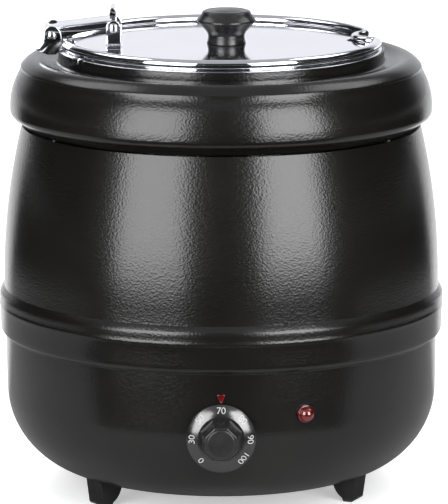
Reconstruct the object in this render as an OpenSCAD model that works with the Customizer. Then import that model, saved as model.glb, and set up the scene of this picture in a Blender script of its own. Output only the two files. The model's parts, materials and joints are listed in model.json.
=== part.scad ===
// Electric soup kettle: black casing, water bath, lift-out pot and hinged lid.
// Millimetres, +Z up, origin on the floor at the kettle's axis, dial towards -Y.

/* [Casing] */
// Largest diameter, at the band round the middle
band_d = 340.6; // [338:0.2:344]
// Radius of the straight wall of the base
base_r = 165.2; // [165:0.1:165.5]
// Radius of the base's rounded bottom corner
base_corner_r = 65.2; // [64:0.2:66]
// Height of the casing's underside above the floor
belly_z = 17.3; // [17:0.1:18]
// Height of the lower edge of the barrel's band
band_low_z = 123.5; // [123:0.5:125]
// Height where the band steps in to the barrel
band_top_z = 154.5; // [154:0.5:156]
// Radius of the barrel just above the band
barrel_r = 166.5; // [166:0.1:167]
// Radius of the long curve down the barrel's side
barrel_bow_r = 507; // [500:1:520]
// Height of the groove between barrel and shoulder
groove_z = 284; // [283:0.5:285]
// Largest radius of the shoulder
shoulder_r = 161; // [160.5:0.1:161.5]
// Radius of the neck that carries the lid
neck_r = 124; // [123.8:0.1:124.2]
// Height of the neck's top edge
neck_z = 342; // [341.9:0.1:342.1]
// Thickness of the casing's sheet steel
sheet = 1; // [0.8:0.1:1.2]

/* [Water bath and pot] */
// Outside radius of the water bath
bath_r = 119.5; // [119:0.1:119.6]
// Height of the water bath's floor
bath_z = 82; // [81:0.5:84]
// Outside radius of the soup pot
pot_r = 114; // [113:0.5:114.5]
// Height of the pot's underside
pot_z = 93; // [92:0.5:96]
// Thickness of the stainless sheet
steel = 0.8; // [0.7:0.1:1]

/* [Lid] */
// Radius of the rolled bead's centre line
bead_path_r = 118.5; // [118:0.1:118.6]
// Radius of the rolled bead's section
bead_r = 3.7; // [3.5:0.1:3.8]
// Radius of the lid plate
lid_r = 113.9; // [113:0.1:114]
// Angle of the ladle notch behind the right-hand side
notch_turn = 10; // [0:1:15]
// Distance between the two rivets of the hinge link
link_len = 47.2; // [46:0.2:49]
// Slope of the hinge link at rest
link_slope = 6.9; // [5:0.1:8]

/* [Controls] */
// Height of the dial's centre
dial_z = 76.2; // [75:0.2:78]
// Diameter of the dial's numbered skirt
dial_d = 51.2; // [50:0.2:52]
// Distance of the dial's front face from the kettle's axis
dial_front = 186; // [184:0.5:187]
// Angle of the red lamp to the right of the dial
lamp_turn = 22; // [20:0.5:24]
// Height of the red lamp
lamp_z = 92; // [90:0.5:94]

/* [Feet] */
// Distance of the feet from the kettle's axis
foot_ring_r = 111; // [109:0.5:112]
// Width of a foot
foot_w = 20; // [16:1:24]
// Angle of the rear foot
foot_start = 94.7; // [90:0.1:96]

/* [Hidden] */
$fn = 96;
black = [0.09, 0.09, 0.1];
plastic = [0.05, 0.05, 0.05];
inox = [0.8, 0.8, 0.83];
zinc = [0.72, 0.73, 0.75];

// Height of the arc centre of the base's bottom corner
base_arc_z = belly_z + base_corner_r;
base_arc_x = base_r - base_corner_r - 0.4;
base_top_z = 134;
belly_hole_r = 70;
band_r = band_d / 2;
step_h = 10;
hem_r = band_r - 4;
cover_low_z = groove_z + 1;
roll_r = 9.5;
bow_r = 52;
crest_r = 14.3;
flange_in = 138;
rod_ring_r = 144;
rod_r = 2;
rod_count = 3;
rod_start = 90;
// Stacking of rims at the neck, upwards
bath_rim_z = neck_z - 1.7;
pot_rim_z = bath_rim_z + steel + 0.3;
ring_z = pot_rim_z + steel + 0.4;
ring_t = 1.1;
lid_z = ring_z + ring_t + 0.4;
lid_t = 1.2;
bead_z = 346.9;
lid_top = lid_z + lid_t;
// Hinge at the left-hand side
outer_pin = [-128.4, 353.8];
inner_pin = [outer_pin[0] + link_len * cos(link_slope), outer_pin[1] + link_len * sin(link_slope)];
link_w = 31;
ear_t = 1.8;
ear_gap = 0.4;
pin_r = 2;
pin_play = 0.05;
ear_out = link_w / 2 + ear_gap + ear_t;
hinge_gap = 12;
notch_half = 16;
notch_in = 106;
// Controls
dial_back = 166.3;
skirt_h = 6;
// Corner radii of the grip's octagon where it meets the skirt and at its front
grip_base_r = 16.8;
grip_front_r = 12.5;
spindle_r = 3;
lens_r = 6.2;
pointer_z = dial_z + dial_d / 2 + 4;
gland_z = 96;
// Where a nut meets the casing's curved inner face
nut_seat = base_r - sheet - 0.6;
cord_r = 4;
// Inside the casing the gland's bore is wider
gland_lead = base_r + 0.3;
floor_screw_ring = 82;

// Points along an arc, anticlockwise where the end angle is larger
function arc(cx, cy, r, a0, a1, n = 12) =
  [for (i = [0:n]) let (a = a0 + (a1 - a0) * i / n) [cx + r * cos(a), cy + r * sin(a)]];
function reversed(list) = [for (i = [len(list) - 1:-1:0]) list[i]];
// A sheet between an outer line and the same line set in by the sheet's thickness
function sheet_wall(outer, inner) = concat(outer, reversed(inner));

// Base: flat belly, round corner, straight wall; t sets the line inwards
function base_line(t) = concat(
  [[belly_hole_r, belly_z + t]],
  arc(base_arc_x, base_arc_z, base_corner_r - t, -90, 0, 18),
  [[base_r - t, base_arc_z + 20], [base_r - t, base_top_z]]);

// Barrel: hem, band, soft step, long bow and an inward flange at the top
function bow_x(z) = barrel_r - barrel_bow_r
  + sqrt(barrel_bow_r * barrel_bow_r - pow(z - band_top_z - step_h, 2));
function barrel_line(t) = concat(
  [[hem_r - t, band_low_z], [hem_r + 0.8 - t, band_low_z + 2.7]],
  [[band_r - 2.1 - t, band_low_z + 5.4], [band_r - 1.1 - t, band_low_z + 8.4]],
  [for (i = [0:8]) let (u = i / 8)
    [barrel_r + (band_r - barrel_r) * (1 + cos(180 * u)) / 2 - t, band_top_z + step_h * u]],
  [for (z = [172:8:276]) [bow_x(z) - t, z]],
  [[bow_x(groove_z - t) - t, groove_z - t], [flange_in, groove_z - t]]);

// Shoulder and neck: flange, rolled lower edge, bow, crest, top and neck
shoulder_z = cover_low_z + 3.8 + roll_r;
lip_turn = 29;
crest_x = 140;
crest_z = 321.6;
// The valley's arc meets the crest's arc where both have this slope
valley_r = 12;
valley_turn = 28;
valley_x = crest_x - (crest_r + valley_r) * sin(valley_turn);
valley_z = crest_z + (crest_r + valley_r) * cos(valley_turn);
valley_low = valley_z - valley_r;
function cover_line(t) = concat(
  [[flange_in, cover_low_z + t], [shoulder_r - roll_r - 1.5, cover_low_z + t]],
  arc(shoulder_r - roll_r, shoulder_z, roll_r - t, -78, 0, 10),
  arc(shoulder_r - bow_r, shoulder_z, bow_r - t, 3, lip_turn, 8),
  arc(crest_x, crest_z, crest_r - t, 18, 90 + valley_turn, 10),
  arc(valley_x, valley_z, valley_r + t, 270 + valley_turn, 262, 4),
  [[neck_r + 0.8 - t, valley_low - t + 0.6], [neck_r - t, valley_low - t + 2]],
  [[neck_r - t, neck_z]]);

// Turns a child standing at the front, on -Y, round the axis to the right
module front_turn(a) { rotate([0, 0, a]) children(); }
// A cylinder pointing from the axis to the front, between two distances
module front_cyl(z, from, to, r, r2 = -1) {
  translate([0, -from, z]) rotate([90, 0, 0]) cylinder(h = to - from, r1 = r, r2 = r2 < 0 ? r : r2);
}
// A cylinder across the hinge, along Y, centred
module cross_cyl(at, r, w) {
  translate([at[0], w / 2, at[1]]) rotate([90, 0, 0]) cylinder(h = w, r = r);
}
module ring_plate(z, h, inside, outside) {
  translate([0, 0, z]) difference() {
    cylinder(h = h, r = outside);
    translate([0, 0, -1]) cylinder(h = h + 2, r = inside);
  }
}
module hex_nut(z, across, h, hole) {
  translate([0, 0, z]) difference() {
    cylinder(h = h, r = across / sqrt(3), $fn = 6);
    translate([0, 0, -1]) cylinder(h = h + 2, r = hole, $fn = 24);
  }
}
module around(count, start, radius) {
  for (i = [0:count - 1]) rotate([0, 0, start + i * 360 / count]) translate([radius, 0, 0]) children();
}
// A domed screw head on top of a shank that points down
module pan_screw(z, head_r, head_h, shank_r, shank_len) {
  translate([0, 0, z]) intersection() {
    cylinder(h = head_h, r = head_r, $fn = 32);
    translate([0, 0, head_h - head_r * 1.6]) sphere(r = head_r * 1.6, $fn = 32);
  }
  translate([0, 0, z - shank_len]) cylinder(h = shank_len + 0.5, r = shank_r, $fn = 24);
}

// ---- Casing ----
module base_shell() {
  color(black) difference() {
    rotate_extrude($fn = 144) polygon(sheet_wall(base_line(0), base_line(sheet)));
    front_cyl(dial_z, 120, 180, 5);
    front_cyl(pointer_z, 150, 180, 1.3);
    front_turn(lamp_turn) front_cyl(lamp_z, 150, 180, 5.1);
    front_turn(180) front_cyl(gland_z, 150, 180, 8.1);
    around(4, 45, floor_screw_ring) translate([0, 0, belly_z - 1]) cylinder(h = 4, r = 2.1, $fn = 24);
    around(3, foot_start, foot_ring_r) translate([0, 0, belly_z - 1]) cylinder(h = 12, r = 2.2, $fn = 24);
  }
}
module barrel_shell() {
  color(black) difference() {
    rotate_extrude($fn = 144) polygon(sheet_wall(barrel_line(0), barrel_line(sheet)));
    around(rod_count, rod_start, rod_ring_r) translate([0, 0, groove_z - 4]) cylinder(h = 8, r = rod_r + 0.2);
  }
}
module top_cover() {
  color(black) difference() {
    rotate_extrude($fn = 144) polygon(sheet_wall(cover_line(0), cover_line(sheet)));
    around(rod_count, rod_start, rod_ring_r) translate([0, 0, groove_z]) cylinder(h = 6, r = rod_r + 0.2);
    rotate([0, 0, 210]) translate([neck_r, 0, neck_z - 1.2]) cube([8, 11, 2.6], center = true);
  }
}
module support_ring() {
  color(zinc) difference() {
    union() {
      ring_plate(112, 1.5, 132, base_r - sheet - 0.1);
      ring_plate(112, 9, base_r - sheet - 1.6, base_r - sheet - 0.1);
    }
    around(rod_count, rod_start, rod_ring_r) translate([0, 0, 110]) cylinder(h = 6, r = rod_r + 0.2);
  }
}
module tie_rods() {
  color(zinc) around(rod_count, rod_start, rod_ring_r)
    translate([0, 0, 104]) cylinder(h = groove_z + 7 - 104, r = rod_r, $fn = 32);
}
module tie_rod_nuts() {
  color(zinc) around(rod_count, rod_start, rod_ring_r) {
    hex_nut(108.6, 7, 3.2, rod_r);
    hex_nut(groove_z + 2.7, 7, 3.2, rod_r);
  }
}

// ---- Water bath and heating ----
module water_bath() {
  color(inox) difference() {
    union() {
      translate([0, 0, bath_z]) cylinder(h = bath_rim_z + steel - bath_z, r = bath_r, $fn = 144);
      translate([0, 0, bath_rim_z]) cylinder(h = steel, r = neck_r - sheet - 0.1, $fn = 144);
    }
    translate([0, 0, bath_z + steel]) cylinder(h = 300, r = bath_r - steel, $fn = 144);
  }
  color(zinc) translate([0, 0, bath_z - 26]) cylinder(h = 26.5, r = 3, $fn = 32);
}
module heating_element() {
  color([0.62, 0.62, 0.64]) difference() {
    union() {
      ring_plate(bath_z - 10.2, 10, 26, 82);
      translate([0, 0, bath_z - 11]) rotate_extrude() translate([62, 0]) circle(r = 4.2, $fn = 32);
    }
    translate([0, -62, bath_z - 16]) cube([26, 12, 11.9], center = true);
  }
}
module heater_clamp_plate() {
  color(zinc) difference() {
    union() {
      translate([0, 0, bath_z - 12.4]) cylinder(h = 2, r = 34);
      translate([-44, -8, bath_z - 12.4]) cube([88, 16, 2]);
    }
    translate([0, 0, bath_z - 14]) cylinder(h = 6, r = 3.05, $fn = 32);
  }
}
// One nut clamps the heater, a thinner one carries the shield below it
module heater_nuts() {
  color(zinc) {
    hex_nut(bath_z - 17.6, 10, 5, 3);
    hex_nut(bath_z - 25.7, 10, 3, 3);
  }
}
shield_r = 86;
module heat_shield() {
  color([0.78, 0.79, 0.8]) {
    ring_plate(bath_z - 22.6, 1, 3.1, shield_r);
    ring_plate(bath_z - 22.6, 9, shield_r - 1, shield_r);
  }
}
// The bulb's capillary bends outwards at this height into the thermostat
bulb_x = bath_r + 3.3;
tube_z = 88;
tube_r = 1;
tube_bend = 4;
module thermostat() {
  color([0.86, 0.84, 0.78]) difference() {
    translate([-20, -150, dial_z - 17]) cube([40, 23, 34]);
    front_cyl(dial_z, 137, 160, spindle_r + 0.06);
    front_cyl(tube_z, 126, 131.5, tube_r + 0.06);
    for (x = [-14, 14]) translate([x, 0, 0]) front_cyl(dial_z, 145.4, 160, 1.56);
  }
}
module thermostat_bracket() {
  color(zinc) difference() {
    union() {
      translate([-24, -152, dial_z - 20]) cube([48, 1.6, 48]);
      translate([-24, -160.5, dial_z + 26.4]) cube([48, 10, 1.6]);
    }
    front_cyl(dial_z, 145, 160, 4.5);
    for (x = [-14, 14]) translate([x, 0, 0]) front_cyl(dial_z, 145, 160, 1.6);
  }
}
module thermostat_screws() {
  color(zinc) for (x = [-14, 14]) translate([x, -152, dial_z]) rotate([90, 0, 0])
    pan_screw(0, 3, 2, 1.5, 6);
}
// Capillary: bulb against the bath, and a thin tube down to the thermostat
module sensor_bulb() {
  color([0.72, 0.45, 0.3]) {
    rotate([0, 0, -90]) translate([bulb_x, 0, 0]) {
      translate([0, 0, 104]) cylinder(h = 66, r = 3, $fn = 32);
      translate([0, 0, tube_z + tube_bend]) cylinder(h = 13, r = tube_r, $fn = 24);
      translate([tube_bend, 0, tube_z + tube_bend]) rotate([90, 180, 0]) rotate_extrude(angle = 90)
        translate([tube_bend, 0]) circle(r = tube_r, $fn = 24);
      translate([tube_bend, 0, tube_z]) rotate([0, 90, 0]) cylinder(h = 3.6, r = tube_r, $fn = 24);
    }
  }
}
module bulb_clip() {
  color(inox) rotate([0, 0, -90]) translate([bulb_x, 0, 130]) difference() {
    translate([-3, -6, 0]) cube([7.6, 12, 14]);
    translate([0, 0, -1]) cylinder(h = 16, r = 3.1, $fn = 32);
    translate([-bulb_x, 0, -1]) cylinder(h = 16, r = bath_r + 0.1, $fn = 144);
  }
}
module thermal_cutout() {
  color([0.2, 0.2, 0.2]) translate([92, 0, bath_z - 8.2]) cylinder(h = 8, r = 8, $fn = 48);
  color(zinc) for (s = [-1, 1]) translate([92 + s * 3.5, 0, bath_z - 14]) cube([1, 6, 13], center = true);
}
module terminal_block() {
  color([0.93, 0.92, 0.88]) translate([-26, 84, belly_z + 1.8]) difference() {
    cube([52, 18, 16]);
    for (i = [0:2]) translate([9 + i * 17, 9, 6]) cylinder(h = 12, r = 3, $fn = 24);
  }
}
// Insulated leads with round elbows, from the terminals up to the heater
module lead_wires() {
  color([0.9, 0.9, 0.86]) for (s = [-1, 1]) translate([s * 17, 62, 0]) {
    translate([0, 21.7, 27]) rotate([90, 0, 0]) cylinder(h = 15.7, r = 1.6, $fn = 24);
    translate([0, 6, 33]) rotate([0, 90, 0]) rotate_extrude(angle = 90) translate([6, 0]) circle(r = 1.6, $fn = 24);
    translate([0, 0, 33]) cylinder(h = bath_z - 22.7 - 33, r = 1.6, $fn = 24);
  }
}

// ---- Lamp, pointer, cord inlet ----
module indicator_lens() {
  color([0.8, 0.08, 0.06]) front_turn(lamp_turn) {
    front_cyl(lamp_z, 165.5, 167.6, lens_r + 1.2);
    intersection() {
      translate([0, -167.4, lamp_z]) sphere(r = lens_r, $fn = 64);
      front_cyl(lamp_z, 167.4, 180, lens_r + 1);
    }
    front_cyl(lamp_z, 158, 165.6, 5);
  }
}
module indicator_body() {
  color([0.9, 0.88, 0.82]) front_turn(lamp_turn) difference() {
    front_cyl(lamp_z, 132, 157.8, 5.6);
    front_cyl(lamp_z, 150, 158, 2.6);
  }
}
module indicator_nut() {
  color(plastic) front_turn(lamp_turn) translate([0, -nut_seat + 3, lamp_z]) rotate([90, 0, 0]) hex_nut(0, 15, 3, 5.05);
}
module dial_pointer() {
  color([0.75, 0.07, 0.06]) {
    front_cyl(pointer_z, 160, 166, 1.25);
    translate([0, -base_r, pointer_z]) rotate([90, 0, 0])
      linear_extrude(1.8) polygon([[-3.6, 2.6], [-2.8, 3.4], [2.8, 3.4], [3.6, 2.6], [0.7, -3.2], [-0.7, -3.2]]);
  }
}
module cord_gland() {
  color(plastic) front_turn(180) difference() {
    union() {
      front_cyl(gland_z, 152, 172, 8);
      translate([0, -base_r, gland_z]) rotate([90, 0, 0]) cylinder(h = 4.5, r = 12, $fn = 6);
    }
    front_cyl(gland_z, gland_lead, 175, cord_r);
    front_cyl(gland_z, 150, gland_lead + 0.01, cord_r + 1.5);
  }
}
module gland_cap() {
  color(plastic) front_turn(180) difference() {
    union() {
      translate([0, -base_r - 4.8, gland_z]) rotate([90, 0, 0]) cylinder(h = 7, r = 11.5, $fn = 12);
      front_cyl(gland_z, base_r + 11.6, dial_front, 10.2, 6.6);
    }
    front_cyl(gland_z, 160, base_r + 8, 8.1);
    front_cyl(gland_z, 150, 190, cord_r);
  }
}
module gland_nut() {
  color(zinc) front_turn(180) translate([0, -nut_seat + 5, gland_z]) rotate([90, 0, 0]) hex_nut(0, 22, 5, 8.1);
}

// ---- Underside ----
module bottom_plate() {
  color(black) difference() {
    union() {
      ring_plate(belly_z - 1.4, 1.2, 0.1, 90);
      ring_plate(belly_z - 1.4, 3, 60, 62);
    }
    around(4, 45, floor_screw_ring) translate([0, 0, belly_z - 3]) cylinder(h = 6, r = 2.1, $fn = 24);
    for (k = [-2:2]) translate([k * 14, 0, belly_z]) cube([4, 60 - 8 * abs(k), 10], center = true);
  }
}
module bottom_plate_screws() {
  color(zinc) around(4, 45, floor_screw_ring) translate([0, 0, belly_z - 1.4]) rotate([180, 0, 0])
    pan_screw(0, 3.6, 2.2, 2, 7);
}
// A foot: its top follows the base's round corner, its inner side is round
foot_low = [foot_ring_r - 3.6, foot_ring_r + 4.6];
foot_high = [foot_ring_r - 12.5, foot_ring_r + 7.6];
foot_round = 17;
foot_seat = 5;
module foot() {
  difference() {
    translate([0, foot_w / 2, 0]) rotate([90, 0, 0]) linear_extrude(foot_w)
      polygon(concat([[foot_low[1] - 1, 0], [foot_low[1], 1.2], [foot_high[1], 26], [foot_high[0], 26]],
        arc(foot_high[0] + foot_round, foot_round, foot_round, 180, 238, 8), [[foot_low[0], 0]]));
    rotate_extrude($fn = 144) polygon(concat([[0, 60], [0, belly_z - 0.1]],
      arc(base_arc_x, base_arc_z, base_corner_r + 0.1, -90, -45, 12), [[140, 60]]));
    translate([foot_ring_r, 0, -1]) cylinder(h = foot_seat + 1, r = 4.6, $fn = 32);
    translate([foot_ring_r, 0, -1]) cylinder(h = 30, r = 2.2, $fn = 24);
  }
}
module foot_front_left() { color(plastic) rotate([0, 0, foot_start + 120]) foot(); }
module foot_front_right() { color(plastic) rotate([0, 0, foot_start + 240]) foot(); }
module foot_rear() { color(plastic) rotate([0, 0, foot_start]) foot(); }
module foot_screws() {
  color(zinc) around(3, foot_start, foot_ring_r) translate([0, 0, foot_seat - 0.05]) rotate([180, 0, 0]) pan_screw(0, 4, 2.4, 2, 20);
}

module foot_nuts() { color(zinc) around(3, foot_start, foot_ring_r) hex_nut(belly_z + 3.1, 7, 3.2, 2); }

// ---- Dial ----
module dial_skirt() {
  color(plastic) difference() {
    union() {
      front_cyl(dial_z, dial_back, dial_back + 1.4, dial_d / 2);
      front_cyl(dial_z, dial_back + 1.4, dial_back + skirt_h, dial_d / 2, grip_base_r + 0.6);
    }
    front_cyl(dial_z, 160, 180, spindle_r);
  }
}
module dial_grip() {
  color(plastic) difference() {
    union() {
      hull() {
        translate([0, -dial_back - skirt_h, dial_z]) rotate([90, 22.5, 0]) cylinder(h = 0.2, r = grip_base_r, $fn = 8);
        translate([0, -dial_front + 1.6, dial_z]) rotate([90, 22.5, 0]) cylinder(h = 0.2, r = grip_front_r, $fn = 8);
      }
      front_cyl(dial_z, dial_front - 1.6, dial_front, grip_front_r - 1.8, grip_front_r - 2.8);
    }
    front_cyl(dial_z, 160, 180, spindle_r);
  }
}
module dial_spindle() {
  color(zinc) front_cyl(dial_z, 138, 180, spindle_r);
}

// ---- Soup pot ----
module inner_pot() {
  color(inox) difference() {
    union() {
      translate([0, 0, pot_z + 8]) cylinder(h = pot_rim_z + steel - pot_z - 8, r = pot_r, $fn = 144);
      translate([0, 0, pot_z]) cylinder(h = 8.1, r1 = pot_r - 8, r2 = pot_r, $fn = 144);
      translate([0, 0, pot_rim_z]) cylinder(h = steel, r = neck_r - sheet - 1, $fn = 144);
    }
    translate([0, 0, pot_z + 8 + steel]) cylinder(h = 300, r = pot_r - steel, $fn = 144);
    translate([0, 0, pot_z + steel]) cylinder(h = 8.1, r1 = pot_r - 8 - steel, r2 = pot_r - steel, $fn = 144);
  }
}

// ---- Lid ring with the rolled bead ----
module bead_sweep(from, to, r) {
  rotate([0, 0, from]) translate([0, 0, bead_z]) rotate_extrude(angle = to - from, $fn = 144)
    translate([bead_path_r, 0]) circle(r = r, $fn = 40);
}
// The notch's outline in plan, open towards the rim
module notch_plan(grow) {
  rotate([0, 0, notch_turn]) union() {
    translate([notch_in + notch_half, 0, 0]) circle(r = notch_half + grow, $fn = 64);
    translate([notch_in + notch_half, -notch_half - grow]) square([30, 2 * (notch_half + grow)]);
  }
}
spout_w = 5;
bead_end = asin((notch_half + spout_w / 2) / bead_path_r);
bead_wall = 0.8;
bead_plug = 5;
module lid_ring() {
  color(inox) {
    difference() {
      union() {
        ring_plate(ring_z, ring_t, 107, bead_path_r + 0.5);
        translate([-140.5, -ear_out + ear_t + 0.2, ring_z])
          cube([30, 2 * (ear_out - ear_t - 0.2), ring_t]);
      }
      translate([0, 0, ring_z - 1]) linear_extrude(4) notch_plan(0);
    }
    difference() {
      bead_sweep(notch_turn + bead_end, 180 - hinge_gap, bead_r);
      bead_sweep(notch_turn + bead_end + bead_plug, 181 - hinge_gap, bead_r - bead_wall);
    }
    difference() {
      bead_sweep(180 + hinge_gap, 360 + notch_turn - bead_end, bead_r);
      bead_sweep(179 + hinge_gap, 360 + notch_turn - bead_end - bead_plug, bead_r - bead_wall);
    }
    translate([0, 0, ring_z + 0.3]) linear_extrude(bead_z + bead_r - 0.4 - ring_z - 0.3) difference() {
      intersection() {
        notch_plan(spout_w);
        circle(r = bead_path_r + 2.4, $fn = 144);
      }
      notch_plan(0);
    }
    for (a = [30, 210]) rotate([0, 0, a]) translate([neck_r - 6.5, -4.5, ring_z]) cube([8.6, 9, ring_t]);
  }
}
// Two ears standing on the ring's tongue, outside the neck
module hinge_bracket() {
  color(inox) for (s = [-1, 1]) difference() {
    translate([0, s > 0 ? ear_out : -ear_out + ear_t, 0]) rotate([90, 0, 0]) linear_extrude(ear_t) union() {
      polygon([[-140.4, 344.6], [-138.6, 349], [-135.2, 354.8], [-121.6, 355.4], [-120.6, 348],
        [-120.6, ring_z + ring_t], [-125.2, ring_z], [-125.2, 339], [-138.6, 342]]);
      translate(outer_pin) circle(r = 7, $fn = 64);
    }
    cross_cyl(outer_pin, pin_r, 60);
  }
}
module outer_rivet_pin() {
  color(inox) {
    cross_cyl(outer_pin, pin_r, 2 * ear_out + 1);
    for (s = [-1, 1]) intersection() {
      translate([outer_pin[0], s * (ear_out - 2.2), outer_pin[1]]) sphere(r = 4.2, $fn = 48);
      translate([outer_pin[0], s * (ear_out + 5), outer_pin[1]]) cube([10, 10, 10], center = true);
    }
  }
}

// ---- Hinge link: channel with a thumb tab, drawn level, then sloped ----
web_z = 4.2;
tab_h = 8.4;
module hinge_link() {
  color(inox) translate([outer_pin[0], 0, outer_pin[1]]) rotate([0, -link_slope, 0]) difference() {
    union() {
      translate([-5.5, -link_w / 2, web_z]) cube([link_len + 8.5, link_w, 1.6]);
      for (s = [-1, 1]) translate([0, s > 0 ? link_w / 2 : -link_w / 2 + 1.6, 0]) rotate([90, 0, 0])
        linear_extrude(1.6) union() {
          translate([0, -4.2]) square([link_len, web_z + 4.4]);
          for (x = [0, link_len]) translate([x, 0]) circle(r = 5.5, $fn = 48);
          translate([-5.5, 0]) square([link_len + 8.5, web_z + 0.2]);
        }
      translate([link_len - 2, -13.5, web_z]) cube([5, 27, tab_h]);
      translate([link_len + 0.5, 13.5, web_z + tab_h - 0.4]) rotate([90, 0, 0]) cylinder(h = 27, r = 2.5, $fn = 32);
    }
    for (x = [0, link_len]) translate([x, 30, 0]) rotate([90, 0, 0]) cylinder(h = 60, r = pin_r + pin_play);
  }
}

// ---- Lid ----
module lid_plate() {
  color(inox) difference() {
    union() {
      translate([0, 0, lid_z]) cylinder(h = lid_t, r = lid_r, $fn = 144);
      rotate_extrude($fn = 144) polygon([[92, lid_z + 0.1], [95, lid_z - 2.2], [104.5, lid_z - 2.2],
        [105.5, lid_z + 0.1], [104.2, lid_z + 0.1], [103.6, lid_z - 1.2], [95.8, lid_z - 1.2], [94, lid_z + 0.1]]);
    }
    translate([0, 0, lid_z - 4]) linear_extrude(8) notch_plan(spout_w + 0.5);
    translate([knob_x, 0, lid_z - 4]) cylinder(h = 8, r = 2.2, $fn = 32);
  }
}
ear_half = 5.5;
module lid_ears() {
  color(inox) {
    for (s = [-1, 1]) difference() {
      union() {
        translate([0, s > 0 ? ear_out : -ear_out + ear_t, 0]) rotate([90, 0, 0]) linear_extrude(ear_t) union() {
          translate([inner_pin[0] - ear_half, lid_top]) square([2 * ear_half, inner_pin[1] - lid_top]);
          translate(inner_pin) circle(r = ear_half, $fn = 64);
        }
        translate([inner_pin[0] - ear_half, s > 0 ? ear_out - 0.2 : -ear_out - 4.8, lid_top])
          cube([2 * ear_half, 5, 1.2]);
      }
      cross_cyl(inner_pin, pin_r, 60);
    }
    translate([inner_pin[0] - ear_half, -ear_out + 0.2, lid_top]) cube([2 * ear_half, 2 * ear_out - 0.4, 1.2]);
  }
}
module inner_rivet_pin() {
  color(inox) {
    cross_cyl(inner_pin, pin_r, 2 * ear_out + 1);
    for (s = [-1, 1]) intersection() {
      translate([inner_pin[0], s * (ear_out - 2.2), inner_pin[1]]) sphere(r = 4.2, $fn = 48);
      translate([inner_pin[0], s * (ear_out + 5), inner_pin[1]]) cube([10, 10, 10], center = true);
    }
  }
}
// Knob: straight stem, flared head with a flat top; it stands a little right of the middle
knob_x = 3.9;
module lid_knob() {
  base = lid_top + 0.05;
  color(plastic) translate([knob_x, 0, 0]) difference() {
    rotate_extrude() polygon([[0, base], [14.9, base], [14.5, base + 1.6], [13.9, base + 4.5],
      [14.3, base + 7.6], [16.6, base + 10.9], [20.3, base + 14.7], [22.1, base + 16.6],
      [22.5, base + 17.8], [22.2, base + 18.8], [18.2, base + 23.6], [16.4, base + 25.3], [0, base + 26.8]]);
    translate([0, 0, base - 1]) cylinder(h = 15, r = 2.1, $fn = 32);
  }
}
module knob_screw() {
  color(zinc) translate([knob_x, 0, lid_z - 0.1]) rotate([180, 0, 0]) pan_screw(0, 4.6, 2.6, 2.1, 13);
}

base_shell();
barrel_shell();
top_cover();
support_ring();
tie_rods();
tie_rod_nuts();
water_bath();
heating_element();
heater_clamp_plate();
heater_nuts();
heat_shield();
thermostat();
thermostat_bracket();
thermostat_screws();
sensor_bulb();
bulb_clip();
thermal_cutout();
terminal_block();
lead_wires();
indicator_lens();
indicator_body();
indicator_nut();
dial_pointer();
cord_gland();
gland_cap();
gland_nut();
bottom_plate();
bottom_plate_screws();
foot_front_left();
foot_front_right();
foot_rear();
foot_screws();
foot_nuts();
dial_skirt();
dial_grip();
dial_spindle();
inner_pot();
lid_ring();
hinge_bracket();
outer_rivet_pin();
hinge_link();
lid_plate();
lid_ears();
inner_rivet_pin();
lid_knob();
knob_screw();
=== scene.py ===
import json
import math

import bmesh
import bpy
from bpy.props import FloatProperty, FloatVectorProperty, IntProperty, PointerProperty
from mathutils import Matrix, Vector
from mathutils.geometry import tessellate_polygon


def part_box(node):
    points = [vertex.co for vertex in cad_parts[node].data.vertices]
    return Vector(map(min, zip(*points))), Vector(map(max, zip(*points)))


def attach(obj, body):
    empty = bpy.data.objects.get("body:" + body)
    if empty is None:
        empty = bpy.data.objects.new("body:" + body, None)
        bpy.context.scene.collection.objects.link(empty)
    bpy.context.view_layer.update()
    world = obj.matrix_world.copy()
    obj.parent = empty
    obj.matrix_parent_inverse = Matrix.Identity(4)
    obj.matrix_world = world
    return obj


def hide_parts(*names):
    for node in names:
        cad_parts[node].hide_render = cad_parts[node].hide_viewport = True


bl_info = {
    "name": "Soup Kettle",
    "version": (1, 0, 0),
    "blender": (4, 5, 0),
    "location": "View3D > Sidebar > Kettle",
    "description": "Finishes an electric soup kettle: casing, steel lid and hinge, dial, lamp and feet",
    "category": "Object",
}

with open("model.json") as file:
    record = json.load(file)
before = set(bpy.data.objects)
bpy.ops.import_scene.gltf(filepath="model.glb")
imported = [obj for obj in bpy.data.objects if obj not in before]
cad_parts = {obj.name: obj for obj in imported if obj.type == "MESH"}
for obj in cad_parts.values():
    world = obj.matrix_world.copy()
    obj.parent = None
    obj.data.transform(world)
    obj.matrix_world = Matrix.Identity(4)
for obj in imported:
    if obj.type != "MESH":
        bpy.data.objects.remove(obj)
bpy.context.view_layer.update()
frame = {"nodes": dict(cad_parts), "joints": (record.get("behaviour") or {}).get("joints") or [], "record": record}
MM = 0.001


# ---- Sizes taken from the frame, in millimetres ----
def box_mm(node):
    """Lowest and highest corner of a CAD node, in millimetres."""
    low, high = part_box(node)
    return low / MM, high / MM


BASE = box_mm("base_shell")
BARREL = box_mm("barrel_shell")
COVER = box_mm("top_cover")
RING = box_mm("lid_ring")
PLATE = box_mm("lid_plate")
POT = box_mm("inner_pot")
BATH = box_mm("water_bath")
KNOB = box_mm("lid_knob")
SKIRT = box_mm("dial_skirt")
GRIP = box_mm("dial_grip")
LENS = box_mm("indicator_lens")
POINTER = box_mm("dial_pointer")
CAP = box_mm("gland_cap")
FLOOR_SCREWS = box_mm("bottom_plate_screws")
DIAL_Z = (SKIRT[0].z + SKIRT[1].z) / 2
DIAL_R = (SKIRT[1].z - SKIRT[0].z) / 2
JOINTS = {joint["name"]: joint for joint in frame["joints"]}


def pivot(name):
    """Where a joint's axis crosses the plane of the hinge, as (x, z)."""
    at = JOINTS[name]["pos_m"]
    return at[0] / MM, at[2] / MM


OUTER_AXIS = pivot("link_hinge")
INNER_AXIS = pivot("lid_hinge")


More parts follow.
